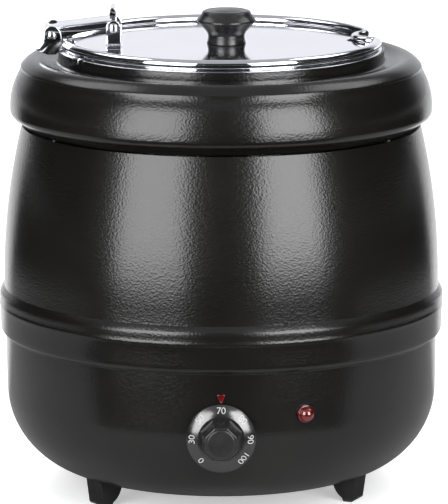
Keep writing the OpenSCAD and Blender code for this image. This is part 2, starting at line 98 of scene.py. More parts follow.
# ---- Small geometry helpers ----
def arc(cx, cy, radius, start, end, steps=12):
    """Points along an arc; the angles are in degrees and both ends are included."""
    turns = [math.radians(start + (end - start) * i / steps) for i in range(steps + 1)]
    return [(cx + radius * math.cos(t), cy + radius * math.sin(t)) for t in turns]


def circle(bm, radius, height, count):
    """A ring of new vertices round Z at a height."""
    turns = [2 * math.pi * i / count for i in range(count)]
    return [bm.verts.new((radius * math.cos(t), radius * math.sin(t), height)) for t in turns]


def join(low, high, count):
    """The corners of each face between two rings, where either ring may be a single pole."""
    for i in range(count):
        j = (i + 1) % count
        corners = (low[i % len(low)], low[j % len(low)], high[j % len(high)], high[i % len(high)])
        unique = list(dict.fromkeys(corners))
        if len(unique) > 2:
            yield unique


def pour(part, bm):
    """Adds a finished bmesh to another and frees it."""
    carry = bpy.data.meshes.new("carry")
    part.to_mesh(carry)
    part.free()
    bm.from_mesh(carry)
    bpy.data.meshes.remove(carry)


def inset(line, depth):
    """The same open line moved to its left-hand side by a depth."""
    moved = []
    for i, (x, y) in enumerate(line):
        ax, ay = line[max(i - 1, 0)]
        bx, by = line[min(i + 1, len(line) - 1)]
        length = math.hypot(bx - ax, by - ay) or 1.0
        moved.append((x - (by - ay) / length * depth, y + (bx - ax) / length * depth))
    return moved


def sheet_outline(line, depth):
    """A closed outline: a sheet's outer line and its inner line."""
    return line + inset(line, depth)[::-1]


def around_z(degrees):
    """A turn round the kettle's axis."""
    return Matrix.Rotation(math.radians(degrees), 4, "Z")


def at_front(z, distance=0.0):
    """Turns +Z to the front, on -Y, with its origin at that height and distance from the axis."""
    return Matrix.Translation((0, -distance, z)) @ Matrix.Rotation(math.radians(90), 4, "X")


def add_lathe(bm, outline, place=None, segments=192):
    """Revolves an outline of (radius, height) round Z; a point on the axis becomes a pole."""
    rings = []
    for radius, height in outline:
        pole = radius < 1e-6
        rings.append([bm.verts.new((0, 0, height))] if pole else circle(bm, radius, height, segments))
    closed = len(rings[0]) > 1 and len(rings[-1]) > 1
    pairs = list(zip(rings, rings[1:] + (rings[:1] if closed else [])))
    if not closed:
        pairs = pairs[:len(rings) - 1]
    for low, high in pairs:
        for corners in join(low, high, segments):
            bm.faces.new(corners)
    if place is not None:
        bmesh.ops.transform(bm, matrix=place, verts=[v for ring in rings for v in ring])


def add_slab(bm, outline, depth, place, bevel=0.4):
    """An outline in XY given a depth along +Z, with its edges rounded."""
    part = bmesh.new()
    low = [part.verts.new((x, y, 0)) for x, y in outline]
    face = part.faces.new(low)
    pushed = bmesh.ops.extrude_face_region(part, geom=[face])
    top = [v for v in pushed["geom"] if isinstance(v, bmesh.types.BMVert)]
    bmesh.ops.translate(part, verts=top, vec=(0, 0, depth))
    bmesh.ops.recalc_face_normals(part, faces=part.faces)
    if bevel:
        sharp = [e for e in part.edges if e.calc_face_angle(0) > math.radians(50)]
        bmesh.ops.bevel(part, geom=sharp, offset=bevel, segments=3, profile=0.5, affect="EDGES",
                        clamp_overlap=True)
    bmesh.ops.transform(part, matrix=place, verts=part.verts)
    pour(part, bm)


def add_sweep(bm, path, section, place=None):
    """Carries a closed section along an open path that lies flat, and closes both ends.

    section(share) gives points of (outward, up) for a share of the path from 0 to 1."""
    rows = []
    for i, (x, y, z) in enumerate(path):
        ax, ay = path[max(i - 1, 0)][:2]
        bx, by = path[min(i + 1, len(path) - 1)][:2]
        length = math.hypot(bx - ax, by - ay)
        out = ((by - ay) / length, -(bx - ax) / length)
        points = section(i / (len(path) - 1))
        rows.append([bm.verts.new((x + out[0] * u, y + out[1] * u, z + v)) for u, v in points])
    for a, b in zip(rows, rows[1:]):
        for i in range(len(a)):
            j = (i + 1) % len(a)
            bm.faces.new((a[i], a[j], b[j], b[i]))
    bm.faces.new(rows[0])
    bm.faces.new(rows[-1][::-1])
    if place is not None:
        bmesh.ops.transform(bm, matrix=place, verts=[v for row in rows for v in row])


HEAD_SIDES = 32


def add_cross_head(bm, radius, height, place):
    """A domed screw head with a cross recess, its top towards +Z."""
    flat_r, depth, arm, half = radius * 0.66, height * 0.6, radius * 0.5, radius * 0.13
    part = bmesh.new()
    dome = [(radius, 0), (radius, height * 0.35), (radius * 0.93, height * 0.66)]
    dome += [(radius * 0.8, height * 0.9), (flat_r, height)]
    rings = [[part.verts.new((0, 0, 0))]] + [circle(part, r, z, HEAD_SIDES) for r, z in dome]
    for low, high in zip(rings, rings[1:]):
        for corners in join(low, high, HEAD_SIDES):
            part.faces.new(corners)
    quarter = [(arm, -half), (arm, half), (half, half)]
    cross = []
    for k in range(4):
        c, s = math.cos(k * math.pi / 2), math.sin(k * math.pi / 2)
        cross += [(x * c - y * s, x * s + y * c) for x, y in quarter]
    top = [part.verts.new((x, y, height)) for x, y in cross]
    floor = [part.verts.new((x * 0.8, y * 0.8, height - depth)) for x, y in cross]
    loops = [[v.co.copy() for v in rings[-1]], [v.co.copy() for v in top]]
    flat = rings[-1] + top
    for triangle in tessellate_polygon(loops):
        part.faces.new([flat[i] for i in triangle])
    for i in range(len(top)):
        j = (i + 1) % len(top)
        part.faces.new((top[i], top[j], floor[j], floor[i]))
    part.faces.new(floor)
    bmesh.ops.recalc_face_normals(part, faces=part.faces)
    bmesh.ops.transform(part, matrix=place, verts=part.verts)
    pour(part, bm)


def mesh_object(bm, name, sharp_degrees=35):
    """Turns a bmesh in millimetres into an object in metres, smooth but for its sharp edges."""
    bmesh.ops.remove_doubles(bm, verts=bm.verts, dist=1e-4)
    bmesh.ops.recalc_face_normals(bm, faces=bm.faces)
    bmesh.ops.scale(bm, vec=(MM, MM, MM), verts=bm.verts)
    limit = math.radians(sharp_degrees)
    for face in bm.faces:
        face.smooth = True
    for edge in bm.edges:
        edge.smooth = edge.calc_face_angle(0) < limit
    mesh = bpy.data.meshes.new(name)
    bm.to_mesh(mesh)
    bm.free()
    piece = bpy.data.objects.new(name, mesh)
    bpy.context.scene.collection.objects.link(piece)
    return piece


def hand_over(piece, finish, body, slot, *nodes):
    """Gives a piece its finish and its body, and hides the CAD nodes that it stands for; its slot is not used."""
    piece.data.materials.clear()
    piece.data.materials.append(finish)
    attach(piece, body)
    if nodes:
        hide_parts(*nodes)
    return piece


# ---- Geometry Nodes: a pattern repeated round an axis ----
def ring_tree():
    """A node tree that sets a pattern at equal turns on a ring round Z, facing outwards."""
    tree = bpy.data.node_groups.new("RingOfParts", "GeometryNodeTree")
    face = tree.interface
    face.new_socket("Geometry", in_out="INPUT", socket_type="NodeSocketGeometry")
    for label, kind in (("Pattern", "Object"), ("Count", "Int"), ("Ring Radius", "Float"),
                        ("Height", "Float"), ("First Turn", "Float"), ("Finish", "Material")):
        face.new_socket(label, in_out="INPUT", socket_type="NodeSocket" + kind)
    face.new_socket("Geometry", in_out="OUTPUT", socket_type="NodeSocketGeometry")
    add, wire = tree.nodes.new, tree.links.new

    def maths(operation, a, b=None):
        node = add("ShaderNodeMath")
        node.operation = operation
        for socket, value in zip(node.inputs, (a, b)):
            if isinstance(value, (int, float)):
                socket.default_value = value
            elif value is not None:
                wire(value, socket)
        return node.outputs[0]

    given = add("NodeGroupInput").outputs
    step = maths("DIVIDE", 2 * math.pi, given["Count"])
    index = add("GeometryNodeInputIndex").outputs[0]
    turn = maths("ADD", maths("MULTIPLY", index, step), given["First Turn"])
    spot = add("ShaderNodeCombineXYZ")
    wire(maths("MULTIPLY", maths("COSINE", turn), given["Ring Radius"]), spot.inputs["X"])
    wire(maths("MULTIPLY", maths("SINE", turn), given["Ring Radius"]), spot.inputs["Y"])
    wire(given["Height"], spot.inputs["Z"])
    points = add("GeometryNodePoints")
    wire(given["Count"], points.inputs["Count"])
    wire(spot.outputs[0], points.inputs["Position"])
    angles = add("ShaderNodeCombineXYZ")
    wire(turn, angles.inputs["Z"])
    facing = add("FunctionNodeEulerToRotation")
    wire(angles.outputs[0], facing.inputs[0])
    pattern = add("GeometryNodeObjectInfo")
    wire(given["Pattern"], pattern.inputs["Object"])
    copies = add("GeometryNodeInstanceOnPoints")
    wire(points.outputs[0], copies.inputs["Points"])
    wire(pattern.outputs["Geometry"], copies.inputs["Instance"])
    wire(facing.outputs[0], copies.inputs["Rotation"])
    real = add("GeometryNodeRealizeInstances")
    wire(copies.outputs[0], real.inputs[0])
    paint = add("GeometryNodeSetMaterial")
    wire(real.outputs[0], paint.inputs["Geometry"])
    wire(given["Finish"], paint.inputs["Material"])
    wire(paint.outputs[0], add("NodeGroupOutput").inputs[0])
    return tree


def ring_of(bm, name, count, radius, height, first_turn, finish, place=None):
    """Makes one mesh object of a pattern, drawn in millimetres, at each place on a ring."""
    pattern = mesh_object(bm, name + "_pattern")
    tree = bpy.data.node_groups.get("RingOfParts") or ring_tree()
    host = bpy.data.objects.new(name + "_host", bpy.data.meshes.new(name + "_host"))
    bpy.context.scene.collection.objects.link(host)
    modifier = host.modifiers.new("Ring", "NODES")
    modifier.node_group = tree
    wanted = {"Pattern": pattern, "Count": count, "Ring Radius": radius * MM, "Height": height * MM,
              "First Turn": math.radians(first_turn), "Finish": finish}
    for socket in tree.interface.items_tree:
        if socket.in_out == "INPUT" and socket.name in wanted:
            modifier[socket.identifier] = wanted[socket.name]
    bpy.context.view_layer.update()
    mesh = bpy.data.meshes.new_from_object(host.evaluated_get(bpy.context.evaluated_depsgraph_get()))
    mesh.name = name
    host.modifiers.remove(modifier)
    bpy.data.objects.remove(host)
    bpy.data.objects.remove(pattern)
    if not mesh.polygons:
        raise RuntimeError(f"{name}: the ring of parts came out empty")
    if place is not None:
        mesh.transform(place)
    piece = bpy.data.objects.new(name, mesh)
    bpy.context.scene.collection.objects.link(piece)
    return piece


# ---- Finishes ----
class Paint:
    """A material being built: its node tree, its shader and object coordinates."""

    def __init__(self, name, colour, roughness, metallic=0.0, specular=0.5):
        self.material = bpy.data.materials.new(name)
        self.material.use_nodes = True
        self.tree = self.material.node_tree
        self.shader = self.tree.nodes["Principled BSDF"]
        self.colour = tuple(colour)[:3]
        self.roughness = roughness
        self.shader.inputs["Metallic"].default_value = metallic
        self.shader.inputs["Specular IOR Level"].default_value = specular
        self.place = self.tree.nodes.new("ShaderNodeTexCoord").outputs["Object"]

    def stretched(self, x, y, z):
        node = self.tree.nodes.new("ShaderNodeMapping")
        node.inputs["Scale"].default_value = (x, y, z)
        self.tree.links.new(self.place, node.inputs["Vector"])
        return node.outputs[0]

    def noise(self, scale, detail=3.0, place=None):
        node = self.tree.nodes.new("ShaderNodeTexNoise")
        node.inputs["Scale"].default_value = scale
        node.inputs["Detail"].default_value = detail
        self.tree.links.new(place or self.place, node.inputs["Vector"])
        return node.outputs["Fac"]

    def pebbles(self, scale):
        node = self.tree.nodes.new("ShaderNodeTexVoronoi")
        node.feature = "SMOOTH_F1"
        node.inputs["Scale"].default_value = scale
        node.inputs["Smoothness"].default_value = 1.0
        self.tree.links.new(self.place, node.inputs["Vector"])
        return node.outputs["Distance"]

    def lathe_lines(self, scale):
        """Fine turning lines: rings on a flat face and bands up a wall."""
        node = self.tree.nodes.new("ShaderNodeTexWave")
        node.wave_type = "RINGS"
        node.rings_direction = "SPHERICAL"
        node.inputs["Scale"].default_value = scale
        node.inputs["Distortion"].default_value = 0.6
        self.tree.links.new(self.place, node.inputs["Vector"])
        return node.outputs["Fac"]

    def shade(self, value, spread):
        """Colour that varies a little either way with a value."""
        ramp = self.tree.nodes.new("ShaderNodeValToRGB")
        ramp.color_ramp.elements[0].position = 0.3
        ramp.color_ramp.elements[1].position = 0.7
        for element, factor in zip(ramp.color_ramp.elements, (1 - spread, 1 + spread)):
            element.color = tuple(min(1.0, c * factor) for c in self.colour) + (1.0,)
        self.tree.links.new(value, ramp.inputs["Fac"])
        self.tree.links.new(ramp.outputs["Color"], self.shader.inputs["Base Color"])

    def polish(self, value, spread):
        """Roughness that varies a little either way with a value."""
        node = self.tree.nodes.new("ShaderNodeMapRange")
        node.inputs["From Min"].default_value = 0.3
        node.inputs["From Max"].default_value = 0.7
        node.inputs["To Min"].default_value = max(0.02, self.roughness - spread)
        node.inputs["To Max"].default_value = self.roughness + spread
        self.tree.links.new(value, node.inputs["Value"])
        self.tree.links.new(node.outputs[0], self.shader.inputs["Roughness"])

    def relief(self, value, strength, depth):
        node = self.tree.nodes.new("ShaderNodeBump")
        node.inputs["Strength"].default_value = strength
        node.inputs["Distance"].default_value = depth
        self.tree.links.new(value, node.inputs["Height"])
        self.tree.links.new(node.outputs[0], self.shader.inputs["Normal"])

    def coat(self, weight, roughness):
        self.shader.inputs["Coat Weight"].default_value = weight
        self.shader.inputs["Coat Roughness"].default_value = roughness


def enamel(colours):
    """Black powder coat with a fine pebbled skin."""
    paint = Paint("BlackEnamel", colours.enamel, 0.22, specular=0.46)
    paint.shade(paint.noise(18), 0.22)
    paint.polish(paint.noise(420, 2), 0.02)
    paint.relief(paint.pebbles(680), 0.5, 0.0002)
    return paint.material


def grained(name, base, roughness, shade, polish, relief, **kinds):
    """A material with noise in its colour, its polish and its relief.

    shade and polish are (scale, spread) or (scale, detail, spread); relief ends in strength and depth."""
    paint = Paint(name, base, roughness, **kinds)
    paint.shade(paint.noise(*shade[:-1]), shade[-1])
    paint.polish(paint.noise(*polish[:-1]), polish[-1])
    paint.relief(paint.noise(*relief[:-2]), *relief[-2:])
    return paint


def satin_black(colours):
    """Thin black lacquer on steel."""
    return grained("SatinBlack", colours.enamel, 0.5, (25, 0.25), (70, 0.07), (900, 0.2, 0.0001),
                   specular=0.35).material


def moulded(colours):
    """Black moulded plastic, semi-gloss."""
    return grained("MouldedBlack", colours.plastic, 0.27, (40, 0.2), (90, 0.06),
                   (1600, 2, 0.12, 0.00006)).material


def dial_skin(colours):
    """The dial skirt's satin moulded plastic."""
    return grained("DialSkin", colours.plastic, 0.2, (60, 0.2), (120, 0.05), (2200, 2, 0.14, 0.00005),
                   specular=1.0).material


def rubber(colours):
    """Dull black rubber."""
    return grained("FootRubber", colours.plastic, 0.62, (50, 0.3), (140, 0.08), (1300, 4, 0.25, 0.0001),
                   specular=0.3).material


def mirror_steel(colours):
    """Polished stainless sheet with the faintest waviness and hairlines."""
    paint = Paint("PolishedSteel", colours.steel, 0.075, metallic=1.0)
    paint.shade(paint.noise(14), 0.02)
    paint.polish(paint.noise(220, 5, paint.stretched(1, 9, 1)), 0.02)
    paint.relief(paint.noise(32, 2), 0.05, 0.00012)
    return paint.material


def spun_steel(colours):
    """Drawn stainless vessel with turning lines."""
    paint = Paint("SpunSteel", colours.steel, 0.24, metallic=1.0)
    paint.shade(paint.noise(22), 0.05)
    paint.polish(paint.noise(120, 4, paint.stretched(1, 1, 6)), 0.06)
    paint.relief(paint.lathe_lines(260), 0.06, 0.00005)
    return paint.material


def zinc(colours):
    """Zinc plate on screws, nuts, rods and brackets."""
    return grained("ZincPlate", colours.zinc, 0.3, (160, 0.1), (260, 0.08), (700, 0.1, 0.00005),
                   metallic=1.0).material


def cast_aluminium(colours):
    """Rough cast aluminium of the heater and its shield."""
    return grained("CastAluminium", colours.zinc, 0.5, (90, 0.15), (240, 0.1), (520, 6, 0.35, 0.00015),
                   metallic=1.0).material


def red_lens(colours):
    """Deep red plastic under a clear gloss."""
    paint = grained("RedLens", colours.lens, 0.09, (260, 2, 0.3), (200, 0.03), (700, 1, 0.05, 0.00005),
                    specular=0.7)
    paint.coat(0.6, 0.04)
    return paint.material


def pale_plastic(colours):
    """Cream plastic of the thermostat, the terminals, the leads and the lamp's body."""
    return grained("PalePlastic", colours.pale, 0.5, (60, 0.06), (150, 0.07), (900, 0.1, 0.00006)).material


def dark_plastic(colours):
    """Dark grey plastic of the thermal cut-out."""
    return grained("DarkPlastic", colours.dark, 0.5, (60, 0.2), (150, 0.07), (900, 0.1, 0.00006)).material


def copper(colours):
    """Bare copper of the thermostat's bulb and capillary."""
    return grained("Copper", colours.copper, 0.28, (120, 0.14), (180, 0.08), (600, 0.08, 0.00004),
                   metallic=1.0).material


def dial_print(colours):
    """White printing ink on the dial."""
    return grained("DialPrint", colours.ink, 0.5, (800, 0.12), (500, 0.08), (1500, 0.1, 0.00003)).material


FINISHES = {
    "black_enamel": enamel, "black_steel": satin_black, "black_plastic": moulded,
    "foot_rubber": rubber, "stainless": mirror_steel, "spun": spun_steel, "zinc_steel": zinc,
    "aluminium": cast_aluminium, "red_lens": red_lens, "pale_plastic": pale_plastic,
    "dark_plastic": dark_plastic, "copper": copper, "dial_skin": dial_skin, "ink": dial_print,
}
MADE = {}


def finish(name):
    """One material for each finish, made on its first use."""
    if name not in MADE:
        MADE[name] = FINISHES[name](bpy.context.scene.kettle_colours)
    return MADE[name]


# ---- Settings ----
def length(label, about, default, low, high):
    """A size in millimetres that a user may change within limits."""
    return FloatProperty(name=label, description=about, default=default, min=low, max=high)


def colour(label, about, default):
    """A base colour that a user may change."""
    return FloatVectorProperty(name=label, description=about, default=default, subtype="COLOR",
                               size=3, min=0.0, max=1.0)


class KettleSizes(bpy.types.PropertyGroup):
    """Sizes in millimetres that the frame leaves open."""

    sheet: length("Casing sheet", "Thickness of the black sheet, in millimetres", 1.0, 0.5, 2)
    steel: length("Steel sheet", "Thickness of the stainless sheet, in millimetres", 0.8, 0.5, 2)
    hem: length("Hem", "Radius of the barrel's rounded lower hem, in millimetres", 0.8, 0.2, 1.2)
    bead: length("Bead", "Radius of the lid ring's rolled bead, in millimetres", 3.7, 2, 3.8)
    bead_path: length("Bead path", "Radius of the bead's centre line, in millimetres", 118.5, 118, 119)
    spout_bead: length("Spout bead", "Radius of the bead round the ladle notch, in millimetres", 2.9, 2, 3)
    grip_base: length("Grip base", "Corner radius of the grip at the skirt, in millimetres", 16.8, 14, 18)
    grip_front: length("Grip front", "Corner radius of the grip at its front, in millimetres", 12.5, 10, 15)
    figure: length("Figures", "Height of the dial's figures, in millimetres", 5.6, 3, 7)
    rivet: length("Rivet", "Radius of a rivet's domed head, in millimetres", 3.6, 3, 4)
    cap_ribs: IntProperty(name="Cap ribs", description="Ribs round the gland's cap", default=18, min=8,
                          max=36)


class KettleColours(bpy.types.PropertyGroup):
    """Base colours of the finishes."""

    enamel: colour("Enamel", "Powder coat of the casing", (0.0036, 0.0033, 0.003))
    plastic: colour("Plastic", "Knob, dial, gland and feet", (0.008, 0.008, 0.008))
    steel: colour("Steel", "Lid, ring, hinge and pot", (0.79, 0.8, 0.84))
    zinc: colour("Zinc", "Plated and cast parts inside", (0.6, 0.61, 0.63))
    lens: colour("Lens", "Lamp and pointer", (0.055, 0.002, 0.002))
    pale: colour("Pale plastic", "Thermostat and terminals", (0.78, 0.75, 0.66))
    dark: colour("Dark plastic", "Small plastic parts inside", (0.04, 0.04, 0.04))
    copper: colour("Copper", "Bulb and capillary", (0.72, 0.36, 0.22))
    ink: colour("Ink", "Figures of the dial", (0.3, 0.3, 0.3))
    floor: colour("Floor", "Studio floor", (0.93, 0.93, 0.93))


# ---- Casing ----
# Radii of the belly's hole, the base's round corner, the barrel above its band and the barrel's bow
HOLE_R = 70.0
CORNER_R = 65.2
WAIST_R = 166.5
BOW_R = 507.0
# Height at which the bow starts
BOW_LOW = 164.5
# The base's wall stands back a little from its widest radius
WALL_BACK = 0.4
SHELL_SEGMENTS = 256
# An edge of a shell that turns by more degrees than this stays sharp
SHELL_SHARP = 25


def base_line():
    """Flat belly, round corner and an almost upright wall."""
    low, high = BASE
    centre = high.x - WALL_BACK - CORNER_R
    line = [(HOLE_R, low.z), (centre - 14, low.z)]
    line += arc(centre, low.z + CORNER_R, CORNER_R, -90, 0, 44)
    return line + [(high.x, low.z + CORNER_R + 20), (high.x, high.z)]


# The band's section from its hem to the barrel: distances in from its widest radius, and heights
BAND = ((1.9, 126.2), (1.25, 127.2), (1.0, 128.6), (0.92, 131.0), (0.86, 135.1), (0.65, 140.5),
        (0.45, 144.5), (0.3, 145.5), (0.08, 146.3), (0.02, 147.0), (0.08, 147.7), (0.22, 148.5),
        (0.32, 149.3), (0.3, 151.5), (0.32, 154.0), (0.42, 154.9), (0.6, 155.7), (0.9, 156.4), (3.62, 160.3))


def barrel_line(hem):
    """Rounded hem, band with a fine ridge, sharp step and a long bow up to the groove."""
    low, high = BARREL
    foot = high.x - 4 - hem
    line = arc(foot, low.z + hem, hem, -150, 0, 8)
    line += [(high.x - depth, z) for depth, z in BAND]
    line += [(WAIST_R + 0.14, 161.2), (WAIST_R + 0.08, BOW_LOW)]
    for i in range(1, 31):
        z = BOW_LOW + (high.z - BOW_LOW) * i / 30
        line.append((WAIST_R - BOW_R + math.sqrt(BOW_R ** 2 - (z - BOW_LOW) ** 2), z))
    return line + [(line[-1][0] - 3, high.z), (line[-1][0] - 12, high.z)]


def cover_line():
    """Rolled lower edge, bowed shoulder, a fine lip, a rounded crest, a valley and the neck."""
    low, high = COVER
    side, roll, bow, neck = high.x, 6.4, 52.0, 124.0
    z = low.z + 13.3
    line = [(side - 23, low.z), (side - 10.5, low.z), (side - 8.2, low.z + 2.6)]
    line += arc(side - roll, z - 2.0, roll, -66, 0, 16)
    line += arc(side - bow, z, bow, 3, 29, 16)
    line += [(153.8, 325.0), (152.9, 327.0), (152.62, 327.9), (152.6, 329.2), (152.2, 329.9), (151.4, 330.6)]
    line += smoothed([(149.8, 332.4), (147.2, 334.6), (144.2, 335.9), (141.2, 336.2), (138.0, 335.6),
                      (134.6, 334.1), (131.4, 332.6), (128.4, 331.9), (126.0, 332.1)], 1)
    line += [(124.7, 332.9), (neck + 0.1, 334.2), (neck, 335.8)]
    return line + [(neck, high.z - 0.4), (neck - 0.3, high.z)]


class KETTLE_OT_casing(bpy.types.Operator):
    """Spin the three black shells of the casing"""

    bl_idname = "kettle.casing"
    bl_label = "Casing"

    def execute(self, context):
        sizes = context.scene.kettle_sizes
        shells = (("base", base_line(), "base_shell"),
                  ("barrel", barrel_line(sizes.hem), "barrel_shell"),
                  ("shoulder", cover_line(), "top_cover"))
        for name, line, node in shells:
            bm = bmesh.new()
            add_lathe(bm, sheet_outline(line, sizes.sheet), segments=SHELL_SEGMENTS)
            hand_over(mesh_object(bm, name, SHELL_SHARP), finish("black_enamel"), "housing",
                      "black_enamel", node)
        return {"FINISHED"}


# ---- Pot and water bath ----
POT_R, POT_CORNER = 114.0, 9
BATH_R, BATH_CORNER = 119.5, 5
# How far the bath's floor stands above the end of its stud, and the stud's radius
BATH_FLOOR_UP = 26
STUD_R = 3


def vessel_line(low, side, rim_r, rim_z, corner):
    """Floor, round corner, wall and a flat rim with a small turned-down lip."""
    line = [(0, low), (side - corner - 4, low)]
    line += arc(side - corner, low + corner, corner, -90, 0, 14)
    line += [(side, rim_z - 2.4)] + arc(side + 2, rim_z - 2, 2, 180, 90, 8)
    return line + [(rim_r - 0.8, rim_z)] + arc(rim_r - 0.8, rim_z - 0.8, 0.8, 90, 0, 5)


def add_vessel(bm, line, wall):
    """A closed wall: the outer line and the inner line, both down to the axis."""
    inner = inset(line, wall)
    inner[0] = (0, line[0][1] + wall)
    add_lathe(bm, line + inner[::-1], segments=192)


class KETTLE_OT_vessels(bpy.types.Operator):
    """Spin the soup pot and the water bath"""

    bl_idname = "kettle.vessels"
    bl_label = "Pot and water bath"

    def execute(self, context):
        wall = context.scene.kettle_sizes.steel
        bm = bmesh.new()
        line = vessel_line(POT[0].z, POT_R, POT[1].x, POT[1].z - wall, POT_CORNER)
        add_vessel(bm, line, wall)
        hand_over(mesh_object(bm, "soup_pot"), finish("spun"), "pot", "stainless", "inner_pot")
        bm = bmesh.new()
        low, floor_z = BATH[0].z, BATH[0].z + BATH_FLOOR_UP
        line = vessel_line(floor_z, BATH_R, BATH[1].x, BATH[1].z - wall, BATH_CORNER)
        add_vessel(bm, line, wall)
        stud = [(0, low), (STUD_R - 0.6, low), (STUD_R, low + 0.8), (STUD_R, floor_z + 0.3)]
        stud += [(0, floor_z + 0.3)]
        add_lathe(bm, stud, segments=32)
        hand_over(mesh_object(bm, "bath_vessel"), finish("spun"), "housing", "stainless", "water_bath")
        return {"FINISHED"}


# ---- Lid ring ----
# The ladle notch: where it lies round the rim, its radius, and how far out its centre is
NOTCH_TURN = 10.0
NOTCH_R = 16.0
NOTCH_CENTRE = 122.0
# Radius of the bead's line round the notch, and half the bead's gap at the hinge, in degrees
SPOUT_R = 18.5
HINGE_GAP = 12.0
BEAD_Z = 346.9
# The flat plate under the bead: the middle of its width, its inner and outer half, and its gap
RIM_R = 112.5
RIM_IN, RIM_OUT = 5.5, 6.0
RIM_GAP = 6.9
RIM_THICK = 1.1
# The tabs bent down from the plate, and the tongue that carries the hinge
TAB_TURNS = (30, 210)
TAB_WIDE = 9
TAB_START = 123.6
TONGUE_HALF, TONGUE_START = 15.9, 110.5


def smoothed(points, passes):
    """An open line with its corners eased, its ends kept."""
    for _ in range(passes):
        inner = [tuple((a + 2 * b + c) / 4 for a, b, c in zip(*three))
                 for three in zip(points, points[1:], points[2:])]
        points = [points[0]] + inner + [points[-1]]
    return points


def resampled(points, step):
    """The same line with points a step apart."""
    lengths = [math.dist(a, b) for a, b in zip(points, points[1:])]
    count = max(2, round(sum(lengths) / step))
    made, segment, done = [], 0, 0.0
    for i in range(count + 1):
        wanted = sum(lengths) * i / count
        while segment < len(lengths) - 1 and done + lengths[segment] < wanted:
            done += lengths[segment]
            segment += 1
        share = (wanted - done) / lengths[segment]
        a, b = points[segment], points[segment + 1]
        made.append(tuple(p + (q - p) * share for p, q in zip(a, b)))
    return made


def bead_path(radius):
    """Round the rim from one side of the hinge to the other, in and out round the ladle notch."""
    meet = (radius ** 2 + NOTCH_CENTRE ** 2 - SPOUT_R ** 2) / (2 * NOTCH_CENTRE)
    half = math.degrees(math.acos(meet / radius))
    side = math.degrees(math.atan2(math.sqrt(radius ** 2 - meet ** 2), meet - NOTCH_CENTRE))
    first = arc(0, 0, radius, -180 + HINGE_GAP - NOTCH_TURN, -half, 260)
    notch = arc(NOTCH_CENTRE, 0, SPOUT_R, 360 - side, side, 40)
    last = arc(0, 0, radius, half, 180 - HINGE_GAP - NOTCH_TURN, 260)
    flat = smoothed(resampled(first + notch + last, 1.2), 14)
    turn = math.radians(NOTCH_TURN)
    return [(x * math.cos(turn) - y * math.sin(turn), x * math.sin(turn) + y * math.cos(turn), BEAD_Z)
            for x, y in flat]


def add_rim_plate(bm, low, thick):
    """The flat ring under the bead, open where the ladle notch cuts it."""
    turns = [math.radians(NOTCH_TURN + RIM_GAP + (360 - 2 * RIM_GAP) * i / 300) for i in range(301)]
    path = [(RIM_R * math.cos(t), RIM_R * math.sin(t), low) for t in turns]

    def outer(degrees):
        off = math.radians(degrees)
        across = NOTCH_R ** 2 - (NOTCH_CENTRE * math.sin(off)) ** 2
        if across <= 0 or math.cos(off) < 0:
            return RIM_OUT
        return min(RIM_OUT, NOTCH_CENTRE * math.cos(off) - math.sqrt(across) - RIM_R)

    def section(share):
        edge = outer(RIM_GAP + (360 - 2 * RIM_GAP) * share)
        return [(-RIM_IN, 0), (edge, 0), (edge, thick), (-RIM_IN, thick)]

    add_sweep(bm, path, section)


class KETTLE_OT_lid_ring(bpy.types.Operator):
    """Roll the lid ring's bead, with its plate, hinge tongue and bent tabs"""

    bl_idname = "kettle.lid_ring"
    bl_label = "Lid ring"

    def execute(self, context):
        sizes = context.scene.kettle_sizes
        path = bead_path(sizes.bead_path)
        low, wall = RING[0].z, sizes.steel

        def narrowing(share):
            x, y, _ = path[round(share * (len(path) - 1))]
            off = math.degrees(math.atan2(y, x)) - NOTCH_TURN
            near = max(0.0, min(1.0, (16 - abs(off)) / 7))
            return sizes.bead + (sizes.spout_bead - sizes.bead) * near * near * (3 - 2 * near)

        def section(share):
            radius = narrowing(share)
            return arc(0, 0, radius, -60, 258, 30) + arc(0, 0, radius - wall, 258, -60, 30)

        bm = bmesh.new()
        add_sweep(bm, path, section)
        add_rim_plate(bm, low, RIM_THICK)
        end, half = RING[0].x, TONGUE_HALF
        tongue = [(end, -half), (-TONGUE_START, -half), (-TONGUE_START, half), (end, half)]
        add_slab(bm, tongue, RIM_THICK, Matrix.Translation((0, 0, low)), 0.3)
        bend = [(-8.0, 0), (1.0, 0)] + arc(1.0, -1.6, 1.6, 90, 0, 5) + [(2.6, -4.6)]
        bend += [(1.5, -4.6), (1.5, -1.6)] + arc(1.0, -1.6, 0.5, 0, 90, 3) + [(-8.0, -RIM_THICK)]
        upright = Matrix.Rotation(math.radians(90), 4, "X")
        for turn in TAB_TURNS:
            spot = Matrix.Translation((TAB_START, TAB_WIDE / 2, low + RIM_THICK))
            add_slab(bm, bend, TAB_WIDE, around_z(turn) @ spot @ upright, 0.15)
        hand_over(mesh_object(bm, "rolled_ring"), finish("stainless"), "ring", "stainless", "lid_ring")
        return {"FINISHED"}


# ---- Lid ----
LID_R = 113.9
LID_THICK = 1.2
# Radius of the bite that the ladle notch takes out of the lid
LID_CUT_R = 21.5
# The stiffening rib under the lid: where the middle of its half round is, and its radius
RIB_MIDDLE, RIB_R = 95.4, 3.0


def lid_edge(degrees, edge_r, cut_r):
    """How far the lid reaches from its centre in a direction, with the notch's bite taken out."""
    off = math.radians(degrees - NOTCH_TURN)
    across = cut_r ** 2 - (NOTCH_CENTRE * math.sin(off)) ** 2
    if math.cos(off) < 0 or across <= 0:
        return edge_r
    return min(edge_r, NOTCH_CENTRE * math.cos(off) - math.sqrt(across))


